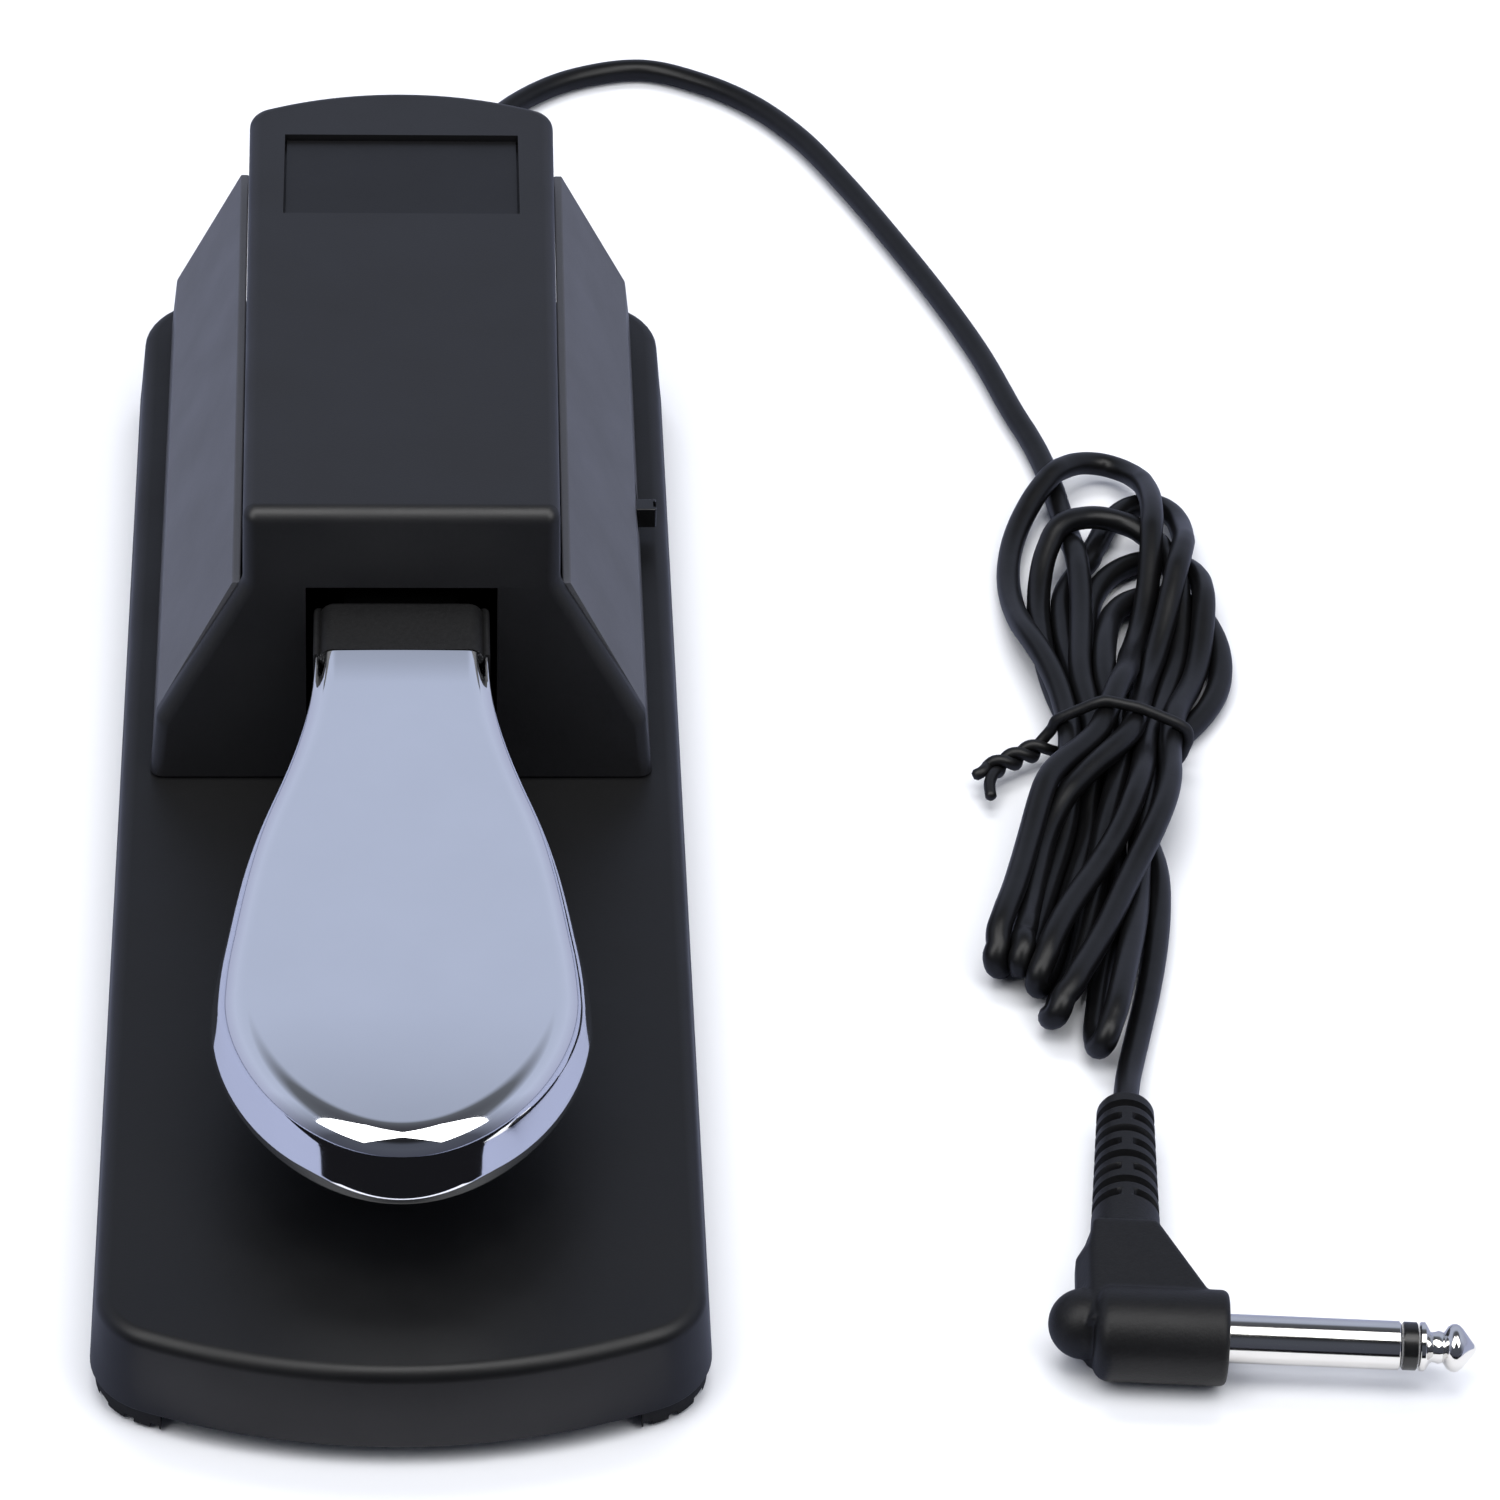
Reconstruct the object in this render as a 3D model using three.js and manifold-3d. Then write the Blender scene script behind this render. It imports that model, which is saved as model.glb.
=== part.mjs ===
// A sustain pedal for an electronic piano: a low plastic base, a narrow housing with two grey wing
// panels, a pear-shaped chromed pedal on a sprung lever, and a lead that ends in an angled jack plug.
//
// Millimetres. +X is the player's right, -Y points to the toe of the pedal, +Z is up.
// The origin is on the floor under the middle of the base.

import * as THREE from 'three';
import { mergeVertices } from 'three/addons/utils/BufferGeometryUtils.js';
import Module from 'manifold-3d';

const wasm = await Module();
wasm.setup();

// ---------------------------------------------------------------- driving dimensions

const GAP = 0.3; // clearance between pieces that touch

const BASE = {
  halfWidth: 39.8, halfLength: 121, bowRadius: 84, frontCorner: 11, rearCorner: 12,
  skirtZ: 3, topZ: 15, wall: 3, deck: 2.4, draft: 0.95, fillet: 2,
};
const FOOT = { x: 32.4, y: 107.5, width: 13, length: 12, pegRadius: 1.7, floorInset: 0.6 };
const PLATE_THICKNESS = 0.9;

const HOUSING = {
  topZ: 54, frontHalf: 21.7, rearHalf: 22.5, rearY: 117.5, rearRadius: 48, rearCorner: 4,
  wall: 2.2, roof: 3, fillet: 1.5, cheek: 3.6, fasciaWall: 3,
};
const FASCIA = { bottomY: 0.5, topY: 10 };
const OPENING = { half: 13.2, topZ: 43 };
const WING = {
  topZ: 42.3, topIn: 23.3, topOut: 24.2, foldZ: 23.3, foldX: 33.9, footX: 34.8, sheet: 1.5, rearY: 112,
};
const NAMEPLATE = { half: 17.2, frontY: 84, rearY: 105, recess: 1.7, sheet: 0.5 };

const PIVOT = {
  y: 87, z: 31, axleRadius: 2.5, boreRadius: 2.8, bushRadius: 4, bossRadius: 7.5,
  axleHalf: 17.1, grooveX: 15.2, clip: 0.7, earX: 13.6, earThickness: 1.5, frontY: 81, rearY: 93,
};
const ARM = { headHalf: 12.3, beamHalf: 8, topZ: 40, underZ: 32, headY: -1.7, tongueY: -80, tailY: 103 };
const SHELL = {
  neckY: -2, toeY: -103.2, wideY: -72, neckHalf: 11.8, wideHalf: 24.7, sheet: 1,
  neckTop: 40, toeTop: 38, neckRim: 36, toeRim: 28.5,
};
const SHELL_SCREW_Y = [-24, -66];

const SPRING = { y: 45, radius: 5, wire: 0.55, turns: 6, lowZ: 15.4, highZ: 31.7 };
const STOP_PADS = {
  down: { y: 22, lowZ: 24.3, highZ: 27.6, radius: 5 },
  rest: { y: 98, lowZ: 23.3, highZ: 27.1, radius: 4.5 },
};
const SWITCH = {
  frontY: 55, rearY: 75, half: 3.2, lowZ: 16.8, highZ: 27, screwY: [60.3, 69.8], screwZ: 19.6,
};
const PLUNGER = { y: 68, half: 1.5, depth: 0.8, lowZ: 26.2, highZ: 28.3 };
const LEVER = { y: 73.45, half: 2, leaf: 0.5, hookZ: 26.2, heelZ: 28.3, tipY: 56, tipZ: 29.5 };
const KNOB = { y: 57, z: 19, size: 4, tipX: 37.3, travel: 3 };

const HOUSING_SCREWS = [[-16.8, 26], [16.8, 26], [-17.4, 104], [17.4, 104]];
const WING_SCREWS = [[-29.4, 30], [-29.4, 95], [29.4, 30], [29.4, 95]];
const PLATE_SCREWS = [[-28, -88], [28, -88], [-28, 66], [28, 66]];
const BRACKET_SCREW_X = 10;
const CLAMP = { y: 102, screwX: 6.5, half: 9, depth: 2.8, lowZ: 5.5, highZ: 6.2 };
const SCREW = { shank: 1.25, hole: 1.6, boss: 3.3 };

const CORD_RADIUS = 1.75;
const EXIT = { y: 121.3, z: 8.2, bootLength: 13 };
const PLUG = { x: 89.3, y: -103.6, z: 6.2, turn: -3.7, barrelRadius: 6.2, barrelLength: 17.4 };
const RELIEF = { from: [94.9, -81.4, 6], to: [97.4, -56, 4.6], thick: 4.6, thin: 3.8 };

// Centre line of the lead from the boot to the tied hank, and of the tail from the hank to the plug.
const LEAD_ROUTE = [
  [0, 134.6, 8.2], [0.2, 139, 7.8], [1, 146, 5.6], [2.4, 154, 3.2], [4.6, 164, 2], [8, 176, 1.8],
  [13, 187.5, 1.8], [19.8, 197, 1.8], [28.5, 203.6, 1.8], [39.6, 206.4, 1.8], [49.2, 202.4, 1.8],
  [57.2, 196, 1.8], [64.6, 186.1, 1.8], [71.6, 171.9, 1.8], [78.3, 156, 1.8], [84.9, 139, 1.8],
  [90, 123.8, 1.8], [94, 108.4, 1.8], [97.2, 97.2, 2],
];
const TAIL_ROUTE = [
  [107, -9.5, 2.6], [106, -16.7, 1.8], [103.6, -31.8, 1.8], [100, -44.4, 2.8], [97.8, -53.8, 4.4],
];

const COLOURS = {
  base: [0x242428, 0.62, 0], housing: [0x2c2d31, 0.66, 0], wing: [0x66686f, 0.48, 0],
  chrome: [0xd8dce4, 0.06, 1], rubber: [0x151517, 0.85, 0], steel: [0x9a9ca0, 0.35, 1],
  arm: [0x303133, 0.7, 0], gloss: [0x0b0b0c, 0.2, 0], cable: [0x1c1c1f, 0.45, 0],
  nickel: [0xc9c7c2, 0.15, 1], board: [0x1e5a38, 0.6, 0], nylon: [0xd9d6cc, 0.55, 0],
};

// ---------------------------------------------------------------- solids

/** A closed geometry as a Manifold, turned right side out. */
function solid(geometry) {
  const bare = geometry.clone();
  bare.deleteAttribute('normal');
  bare.deleteAttribute('uv');
  const merged = mergeVertices(bare, 1e-4);
  const place = merged.getAttribute('position');
  const triangles = [];
  let volume = 0;
  const corners = [new THREE.Vector3(), new THREE.Vector3(), new THREE.Vector3()];
  for (let i = 0; i < merged.index.count; i += 3) {
    const ids = [0, 1, 2].map((k) => merged.index.getX(i + k));
    if (ids[0] === ids[1] || ids[1] === ids[2] || ids[2] === ids[0]) continue;
    ids.forEach((id, k) => corners[k].fromBufferAttribute(place, id));
    volume += corners[0].dot(corners[1].clone().cross(corners[2]));
    triangles.push(ids);
  }
  if (volume < 0) triangles.forEach((ids) => ids.reverse());
  return new wasm.Manifold(new wasm.Mesh({
    numProp: 3,
    vertProperties: new Float32Array(place.array),
    triVerts: new Uint32Array(triangles.flat()),
  }));
}

/** A Manifold as a three.js geometry. */
function geometryOf(body) {
  const mesh = body.getMesh();
  const geometry = new THREE.BufferGeometry();
  geometry.setAttribute('position', new THREE.BufferAttribute(mesh.vertProperties, 3));
  geometry.setIndex(new THREE.BufferAttribute(mesh.triVerts, 1));
  geometry.computeVertexNormals();
  return geometry;
}

const join = (...bodies) => bodies.reduce((whole, body) => whole.add(body));
const cut = (whole, ...tools) => tools.reduce((rest, tool) => rest.subtract(tool), whole);

/** A box between two corners. */
function block(x0, x1, y0, y1, z0, z1) {
  const geometry = new THREE.BoxGeometry(x1 - x0, y1 - y0, z1 - z0);
  return solid(geometry.translate((x0 + x1) / 2, (y0 + y1) / 2, (z0 + z1) / 2));
}

/** An upright round post. */
function post(x, y, z0, z1, radius, sides = 14) {
  const geometry = new THREE.CylinderGeometry(radius, radius, z1 - z0, sides);
  return solid(geometry.rotateX(Math.PI / 2).translate(x, y, (z0 + z1) / 2));
}

/** A round bar along X. */
function barX(x0, x1, y, z, radius, sides = 20) {
  const geometry = new THREE.CylinderGeometry(radius, radius, x1 - x0, sides);
  return solid(geometry.rotateZ(Math.PI / 2).translate((x0 + x1) / 2, y, z));
}

/** A body of revolution about Z, from [radius, z] pairs that start and end on the axis or close. */
function turned(profile, sides = 24) {
  const points = profile.map(([radius, z]) => new THREE.Vector2(radius, z));
  return solid(new THREE.LatheGeometry(points, sides).rotateX(Math.PI / 2));
}

function polygon(points) {
  return new THREE.Shape(points.map(([x, y]) => new THREE.Vector2(x, y)));
}

function extruded(shape, depth) {
  return new THREE.ExtrudeGeometry(shape, { depth, bevelEnabled: false, curveSegments: 6 });
}

/** A side view, drawn as [y, z], made solid from x0 to x1. */
function sideProfile(points, x0, x1) {
  const turn = new THREE.Matrix4().makeBasis(
    new THREE.Vector3(0, 1, 0), new THREE.Vector3(0, 0, 1), new THREE.Vector3(1, 0, 0));
  return solid(extruded(polygon(points), x1 - x0).applyMatrix4(turn).translate(x0, 0, 0));
}

/** A front view, drawn as [x, z], made solid from y0 to y1. */
function frontProfile(points, y0, y1) {
  return solid(extruded(polygon(points), y1 - y0).rotateX(Math.PI / 2).translate(0, y1, 0));
}

/** A closed skin over a stack of rings, listed from the bottom up. */
function lofted(rings) {
  const count = rings[0].length;
  const positions = rings.flat().flatMap((p) => [p.x, p.y, p.z]);
  const indices = [];
  for (let level = 0; level < rings.length - 1; level += 1) {
    for (let i = 0; i < count; i += 1) {
      const a = level * count + i;
      const b = level * count + ((i + 1) % count);
      indices.push(a, b, b + count, a, b + count, a + count);
    }
  }
  const lastRing = (rings.length - 1) * count;
  const flat = (ring) => ring.map((p) => new THREE.Vector2(p.x, p.y));
  for (const [a, b, c] of THREE.ShapeUtils.triangulateShape(flat(rings[0]), [])) indices.push(a, c, b);
  for (const [a, b, c] of THREE.ShapeUtils.triangulateShape(flat(rings.at(-1)), [])) {
    indices.push(lastRing + a, lastRing + b, lastRing + c);
  }
  const geometry = new THREE.BufferGeometry();
  geometry.setAttribute('position', new THREE.Float32BufferAttribute(positions, 3));
  geometry.setIndex(indices);
  return solid(geometry);
}

/** A round tube along a route of [x, y, z] points. */
function tube(route, radius, steps, sides = 8) {
  const section = new THREE.Shape().absarc(0, 0, radius, 0, 2 * Math.PI, false);
  const outline = new THREE.Shape(section.getPoints(sides / 2).slice(0, sides));
  const path = new THREE.CatmullRomCurve3(route.map((p) => new THREE.Vector3(...p)));
  return solid(new THREE.ExtrudeGeometry(outline, { steps, extrudePath: path, bevelEnabled: false }));
}

// ---------------------------------------------------------------- shared outlines

/** The base's plan outline, drawn inward by inset: straight sides and rear, a bowed front. */
function baseOutline(inset) {
  const bow = BASE.bowRadius - inset;
  const front = BASE.frontCorner - inset;
  const rear = BASE.rearCorner - inset;
  const bowY = BASE.bowRadius - BASE.halfLength;
  const frontX = BASE.halfWidth - BASE.frontCorner;
  const frontY = bowY - Math.sqrt((BASE.bowRadius - BASE.frontCorner) ** 2 - frontX ** 2);
  const rearX = BASE.halfWidth - BASE.rearCorner;
  const rearY = BASE.halfLength - BASE.rearCorner;
  const swing = Math.atan2(frontY - bowY, frontX);
  const path = new THREE.Path();
  path.absarc(rearX, rearY, rear, 0, Math.PI / 2, false);
  path.absarc(-rearX, rearY, rear, Math.PI / 2, Math.PI, false);
  path.absarc(-frontX, frontY, front, Math.PI, Math.PI - swing, false);
  path.absarc(0, bowY, bow, Math.PI - swing, 2 * Math.PI + swing, false);
  path.absarc(frontX, frontY, front, 2 * Math.PI + swing, 2 * Math.PI, false);
  return path.getPoints(4);
}

/** The housing's plan outline, drawn inward by inset; its front is trimmed by the fascia later. */
function housingOutline(inset) {
  const bow = HOUSING.rearRadius - inset;
  const corner = Math.max(HOUSING.rearCorner - inset, 1);
  const half = HOUSING.rearHalf - inset;
  const bowY = HOUSING.rearY - HOUSING.rearRadius;
  const cornerX = half - corner;
  const cornerY = bowY + Math.sqrt((bow - corner) ** 2 - cornerX ** 2);
  const swing = Math.atan2(cornerY - bowY, cornerX);
  const path = new THREE.Path();
  path.moveTo(-(HOUSING.frontHalf - inset), -6);
  path.lineTo(HOUSING.frontHalf - inset, -6);
  path.absarc(cornerX, cornerY, corner, 0, swing, false);
  path.absarc(0, bowY, bow, swing, Math.PI - swing, false);
  path.absarc(-cornerX, cornerY, corner, Math.PI - swing, Math.PI, false);
  return path.getPoints(4);
}

const ringAt = (points, z) => points.map((p) => new THREE.Vector3(p.x, p.y, z));

/** Everything behind the raked fascia plane, moved back by depth. */
function behindFascia(depth) {
  const lean = (FASCIA.topY - FASCIA.bottomY) / (HOUSING.topZ - BASE.topZ);
  const yAt = (z) => FASCIA.bottomY + depth + lean * (z - BASE.topZ);
  return sideProfile([[yAt(0), 0], [130, 0], [130, 70], [yAt(70), 70]], -50, 50);
}

/** Half outline of the pedal, from the neck round to the toe, as points with outward normals. */
function pedalHalf() {
  const side = new THREE.CubicBezierCurve(
    new THREE.Vector2(SHELL.neckHalf, SHELL.neckY), new THREE.Vector2(SHELL.neckHalf + 0.6, -30),
    new THREE.Vector2(SHELL.wideHalf - 0.2, -46), new THREE.Vector2(SHELL.wideHalf, SHELL.wideY));
  const toe = new THREE.CubicBezierCurve(
    new THREE.Vector2(SHELL.wideHalf, SHELL.wideY), new THREE.Vector2(SHELL.wideHalf, -86),
    new THREE.Vector2(13.5, SHELL.toeY), new THREE.Vector2(0, SHELL.toeY));
  const sample = (curve, count, from) => Array.from({ length: count + 1 - from }, (_, k) => {
    const t = (k + from) / count;
    const along = curve.getTangent(t);
    return { at: curve.getPoint(t), out: new THREE.Vector2(-along.y, along.x) };
  });
  return [...sample(side, 9, 0), ...sample(toe, 10, 1)];
}

const alongPedal = (y) => (SHELL.neckY - y) / (SHELL.neckY - SHELL.toeY);
const pedalTop = (y) => THREE.MathUtils.lerp(SHELL.neckTop, SHELL.toeTop, alongPedal(y));
const pedalRim = (y) => THREE.MathUtils.lerp(SHELL.neckRim, SHELL.toeRim, alongPedal(y));

/** A ring of the pedal's outline: inset from the rim, at heightOf(y). */
function pedalRing(inset, heightOf, neckShift = 0) {
  const half = pedalHalf();
  const right = half.map(({ at, out }) => {
    const outward = out.x >= 0 ? out : out.clone().negate();
    return new THREE.Vector2(at.x - outward.x * inset, at.y - outward.y * inset);
  });
  right[0].y = SHELL.neckY + neckShift;
  right.at(-1).set(0, SHELL.toeY + inset);
  const left = right.slice(0, -1).map((p) => new THREE.Vector2(-p.x, p.y));
  const outline = [...left, ...right.slice().reverse()];
  return outline.map((p) => new THREE.Vector3(p.x, p.y, heightOf(Math.min(p.y, SHELL.neckY))));
}

// ---------------------------------------------------------------- base and housing

function baseShell() {
  const low = BASE.topZ - BASE.fillet;
  const bulge = BASE.fillet * Math.SQRT1_2;
  const outer = lofted([
    ringAt(baseOutline(0), BASE.skirtZ),
    ringAt(baseOutline(BASE.draft), low),
    ringAt(baseOutline(BASE.draft + BASE.fillet - bulge), low + bulge),
    ringAt(baseOutline(BASE.draft + BASE.fillet), BASE.topZ),
  ]);
  const deckZ = BASE.topZ - BASE.deck;
  const hollow = lofted([ringAt(baseOutline(BASE.wall), 0), ringAt(baseOutline(BASE.wall), deckZ)]);
  let body = cut(outer, hollow);
  const plateTop = BASE.skirtZ + PLATE_THICKNESS;
  const bosses = [
    ...PLATE_SCREWS.map(([x, y]) => post(x, y, plateTop + GAP, deckZ + 1, 3.2, 10)),
    ...[-1, 1].map((side) => post(side * CLAMP.screwX, CLAMP.y, CLAMP.highZ + GAP, deckZ + 1, 2.4, 10)),
    ...[-1, 1].map((side) => post(side * BRACKET_SCREW_X, PIVOT.y, 8.5, deckZ + 1, 3, 10)),
    ...Object.values(STOP_PADS).map(({ y, lowZ, radius }) => post(0, y, deckZ + 1, lowZ - GAP, radius)),
    post(0, SPRING.y, deckZ + 1, 19, 3.6, 16),
    block(SWITCH.half + GAP, SWITCH.half + 3.3, SWITCH.frontY + 1, SWITCH.rearY - 1, deckZ + 1, 26),
  ];
  body = join(body, ...bosses);
  const holes = [
    ...PLATE_SCREWS.map(([x, y]) => post(x, y, 0, 11.5, SCREW.hole, 8)),
    ...[-1, 1].map((side) => post(side * CLAMP.screwX, CLAMP.y, 0, 11.5, 1.3, 8)),
    ...[-1, 1].map((side) => post(side * BRACKET_SCREW_X, PIVOT.y, 9.2, 17, SCREW.hole, 8)),
    ...[...HOUSING_SCREWS, ...WING_SCREWS].map(([x, y]) => post(x, y, 11, 17, SCREW.hole, 8)),
    post(0, 77.6, 11, 17, 2.3, 12),
    ...SWITCH.screwY.map((y) => barX(SWITCH.half, SWITCH.half + 4, y, SWITCH.screwZ, 1.3, 10)),
    bootHole(),
  ];
  return cut(body, ...holes);
}

/** The hole in the rear skirt that the boot's neck sits in. */
function bootHole() {
  const geometry = new THREE.CylinderGeometry(3.2, 3.2, 10, 16);
  return solid(geometry.translate(0, BASE.halfLength - 2, EXIT.z));
}

function bottomPlate() {
  const inset = BASE.wall + GAP;
  const top = BASE.skirtZ + PLATE_THICKNESS;
  const sheet = lofted([ringAt(baseOutline(inset), BASE.skirtZ), ringAt(baseOutline(inset), top)]);
  const screwHoles = PLATE_SCREWS.map(([x, y]) => post(x, y, 0, 6, 1.8, 10));
  const pegHole = FOOT.pegRadius + GAP;
  const pegHoles = footPlaces().map(({ pegX, pegY }) => post(pegX, pegY, 0, 6, pegHole, 12));
  return cut(sheet, ...screwHoles, ...pegHoles);
}

function footPlaces() {
  return ['front_left', 'front_right', 'rear_left', 'rear_right'].map((corner) => {
    const sideways = corner.endsWith('right') ? 1 : -1;
    const forward = corner.startsWith('front') ? -1 : 1;
    return { corner, sideways, forward, pegX: sideways * 29.5, pegY: forward * 104 };
  });
}

/** A rubber foot under one corner: ribs that follow the corner, and a peg through the plate. */
function foot({ sideways, forward, pegX, pegY }) {
  const plan = baseOutline(FOOT.floorInset);
  const pad = lofted([ringAt(plan, 0), ringAt(plan, BASE.skirtZ - GAP)]);
  const x = [sideways * (FOOT.x - FOOT.width / 2), sideways * 45].sort((a, b) => a - b);
  const y = [forward * (FOOT.y - FOOT.length / 2), forward * 125].sort((a, b) => a - b);
  const corner = pad.intersect(block(x[0], x[1], y[0], y[1], -1, BASE.skirtZ));
  const grooves = [0, 1, 2].map((k) => {
    const at = sideways * (FOOT.x - 2.4 + 3.2 * k);
    return block(at - 0.5, at + 0.5, -125, 125, -1, 0.9);
  });
  return join(cut(corner, ...grooves), post(pegX, pegY, 1.5, BASE.skirtZ + 2, FOOT.pegRadius, 12));
}

function upperHousing() {
  const low = HOUSING.topZ - HOUSING.fillet;
  const bulge = HOUSING.fillet * Math.SQRT1_2;
  const seat = BASE.topZ + GAP;
  const tower = lofted([
    ringAt(housingOutline(0), seat),
    ringAt(housingOutline(0), low),
    ringAt(housingOutline(HOUSING.fillet - bulge), low + bulge),
    ringAt(housingOutline(HOUSING.fillet), HOUSING.topZ),
  ]);
  const hollow = lofted([
    ringAt(housingOutline(HOUSING.wall), 10),
    ringAt(housingOutline(HOUSING.wall), HOUSING.topZ - HOUSING.roof),
  ]).intersect(behindFascia(HOUSING.fasciaWall));
  const cheeks = frontProfile(cheekOutline(seat), -5, 20).subtract(behindFascia(HOUSING.cheek));
  const bosses = HOUSING_SCREWS.map(([x, y]) => post(x, y, seat, 30, SCREW.boss, 16));
  const skin = join(tower, cheeks).intersect(behindFascia(0));
  const plateLow = HOUSING.topZ - NAMEPLATE.recess;
  return cut(
    join(cut(skin, hollow), ...bosses),
    block(-OPENING.half, OPENING.half, -5, 18, 10, OPENING.topZ),
    block(-NAMEPLATE.half, NAMEPLATE.half, NAMEPLATE.frontY, NAMEPLATE.rearY, plateLow, 60),
    ...HOUSING_SCREWS.map(([x, y]) => post(x, y, 10, 28, SCREW.hole, 10)),
  );
}

/** Front view of the housing's flared cheeks, which close the fronts of the wings. */
function cheekOutline(seat) {
  const rounding = 2.8;
  const right = [
    [WING.footX + 0.2 - rounding, seat], [WING.footX + 0.1 - 0.3 * rounding, seat + 0.3 * rounding],
    [WING.footX + 0.2, seat + rounding], [WING.foldX, WING.foldZ], [WING.topIn + 0.1, WING.topZ],
    [HOUSING.frontHalf, HOUSING.topZ - HOUSING.fillet],
  ];
  return [...right, ...right.map(([x, z]) => [-x, z]).reverse()];
}

/** One grey wing panel; side is 1 on the right and -1 on the left. */
function wing(side) {
  const seat = BASE.topZ + 0.4;
  const section = [
    [WING.topIn, WING.topZ], [WING.foldX - WING.sheet, WING.foldZ - 0.4],
    [WING.footX - WING.sheet, seat], [WING.footX, seat], [WING.foldX, WING.foldZ],
    [WING.topOut, WING.topZ],
  ].map(([x, z]) => [side * x, z]);
  const outline = side > 0 ? section : section.reverse();
  const panel = frontProfile(outline, -5, WING.rearY).intersect(behindFascia(HOUSING.cheek + GAP));
  const screws = WING_SCREWS.filter(([x]) => x * side > 0);
  const body = join(panel, ...screws.map(([x, y]) => post(x, y, seat, 24, SCREW.boss, 16)));
  const holes = screws.map(([x, y]) => post(x, y, 10, 22, SCREW.hole, 10));
  if (side < 0) return cut(body, ...holes);
  const reach = KNOB.size / 2 + 0.4;
  const slotEnd = KNOB.y + KNOB.travel + reach;
  const slot = block(30, 40, KNOB.y - reach, slotEnd, KNOB.z - reach, KNOB.z + reach);
  return cut(body, ...holes, slot);
}

function nameplate() {
  const low = HOUSING.topZ - NAMEPLATE.recess + GAP;
  const half = NAMEPLATE.half - GAP;
  return block(-half, half, NAMEPLATE.frontY + GAP, NAMEPLATE.rearY - GAP, low, low + NAMEPLATE.sheet);
}

// ---------------------------------------------------------------- pedal and pivot

function pedalArm() {
  const head = block(-ARM.headHalf, ARM.headHalf, ARM.headY, 12, 33, ARM.topZ);
  const tongueTop = pedalTop(ARM.tongueY) - SHELL.sheet - GAP;
  const beam = sideProfile([
    [ARM.tongueY, 33], [12, ARM.underZ], [80, ARM.underZ], [ARM.tailY, 27.4], [ARM.tailY, 34],
    [94, 37], [12, 39.6], [SHELL.neckY - GAP, pedalTop(SHELL.neckY) - SHELL.sheet - GAP],
    [ARM.tongueY, tongueTop],
  ], -ARM.beamHalf, ARM.beamHalf);
  const boss = barX(-12, 12, PIVOT.y, PIVOT.z, PIVOT.bossRadius);
  const springPin = post(0, SPRING.y, 28, 34, 3.6, 16);
  const ribLow = LEVER.tipZ + LEVER.leaf + GAP;
  const switchRib = block(-2.5, 2.5, LEVER.tipY - 0.5, LEVER.tipY + 2.5, ribLow, 34);
  const screwHoles = SHELL_SCREW_Y.map((y) => post(0, y, 20, 45, 2.9, 14));
  const bushBore = barX(-20, 20, PIVOT.y, PIVOT.z, PIVOT.bushRadius + GAP);
  return cut(join(head, beam, boss, springPin, switchRib), bushBore, ...screwHoles);
}

/** The chromed shell: a crowned cover open underneath, with two posts for its screws. */
function pedalShell() {
  const outer = lofted([
    pedalRing(0, pedalRim),
    pedalRing(0.1, (y) => pedalRim(y) + 1),
    pedalRing(1, (y) => pedalTop(y) - 2.4),
    pedalRing(1.9, (y) => pedalTop(y) - 0.7),
    pedalRing(3.6, pedalTop),
  ]);
  const inner = lofted([
    pedalRing(0.9, (y) => pedalRim(y) - 1, 1),
    pedalRing(1, (y) => pedalRim(y) + 1, 1),
    pedalRing(2, (y) => pedalTop(y) - 3, 1),
    pedalRing(4.2, (y) => pedalTop(y) - SHELL.sheet, 1),
  ]);
  const posts = SHELL_SCREW_Y.map((y) => post(0, y, 33, pedalTop(y) - 0.5, 2.6, 14));
  const holes = SHELL_SCREW_Y.map((y) => post(0, y, 30, 36.6, 1.5, 10));
  return cut(join(cut(outer, inner), ...posts), ...holes);
}

/** A washer-head screw that holds the shell on the arm. */
function shellScrew(y) {
  return turned([[0, 30.4], [2.2, 30.4], [4.2, 31.6], [4.2, 32.2], [1.2, 32.2], [1.2, 36.2], [0, 36.2]], 16)
    .translate([0, y, 0]);
}

/** A flanged bush in the arm; side is 1 on the right. */
function pivotBush(side) {
  const { boreRadius, bushRadius } = PIVOT;
  const profile = [
    [boreRadius, 4], [bushRadius, 4], [bushRadius, 12.3], [5.5, 12.3], [5.5, 13.2], [boreRadius, 13.2],
    [boreRadius, 4],
  ];
  const points = profile.map(([radius, x]) => new THREE.Vector2(radius, x));
  const ring = new THREE.LatheGeometry(points, 18).rotateZ(-side * Math.PI / 2);
  return solid(ring.translate(0, PIVOT.y, PIVOT.z));
}

/** The axle: a rod with a groove for a clip near each end. */
function pivotAxle() {
  const { axleRadius, axleHalf, grooveX } = PIVOT;
  const groove = axleRadius - 0.6;
  const grooveEnd = grooveX + 1.1;
  const half = [
    [axleRadius, grooveX], [groove, grooveX], [groove, grooveEnd], [axleRadius, grooveEnd],
    [axleRadius, axleHalf - 0.3], [axleRadius - 0.3, axleHalf], [0, axleHalf],
  ];
  const mirrored = half.map(([radius, x]) => [radius, -x]).reverse();
  const points = [...mirrored, ...half].map(([radius, x]) => new THREE.Vector2(radius, x));
  const rod = new THREE.LatheGeometry(points, 18).rotateZ(-Math.PI / 2);
  return solid(rod.translate(0, PIVOT.y, PIVOT.z));
}

/** A retaining clip in the axle's groove: a flat ring with a mouth. */
function axleClip(side) {
  const x = side * (PIVOT.grooveX + 0.55);
  const ring = barX(x - PIVOT.clip / 2, x + PIVOT.clip / 2, PIVOT.y, PIVOT.z, 4.6, 20);
  const bore = barX(x - 2, x + 2, PIVOT.y, PIVOT.z, 2.25, 20);
  return cut(ring, bore, block(x - 2, x + 2, PIVOT.y - 1.9, PIVOT.y + 1.9, PIVOT.z - 8, PIVOT.z));
}

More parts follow.
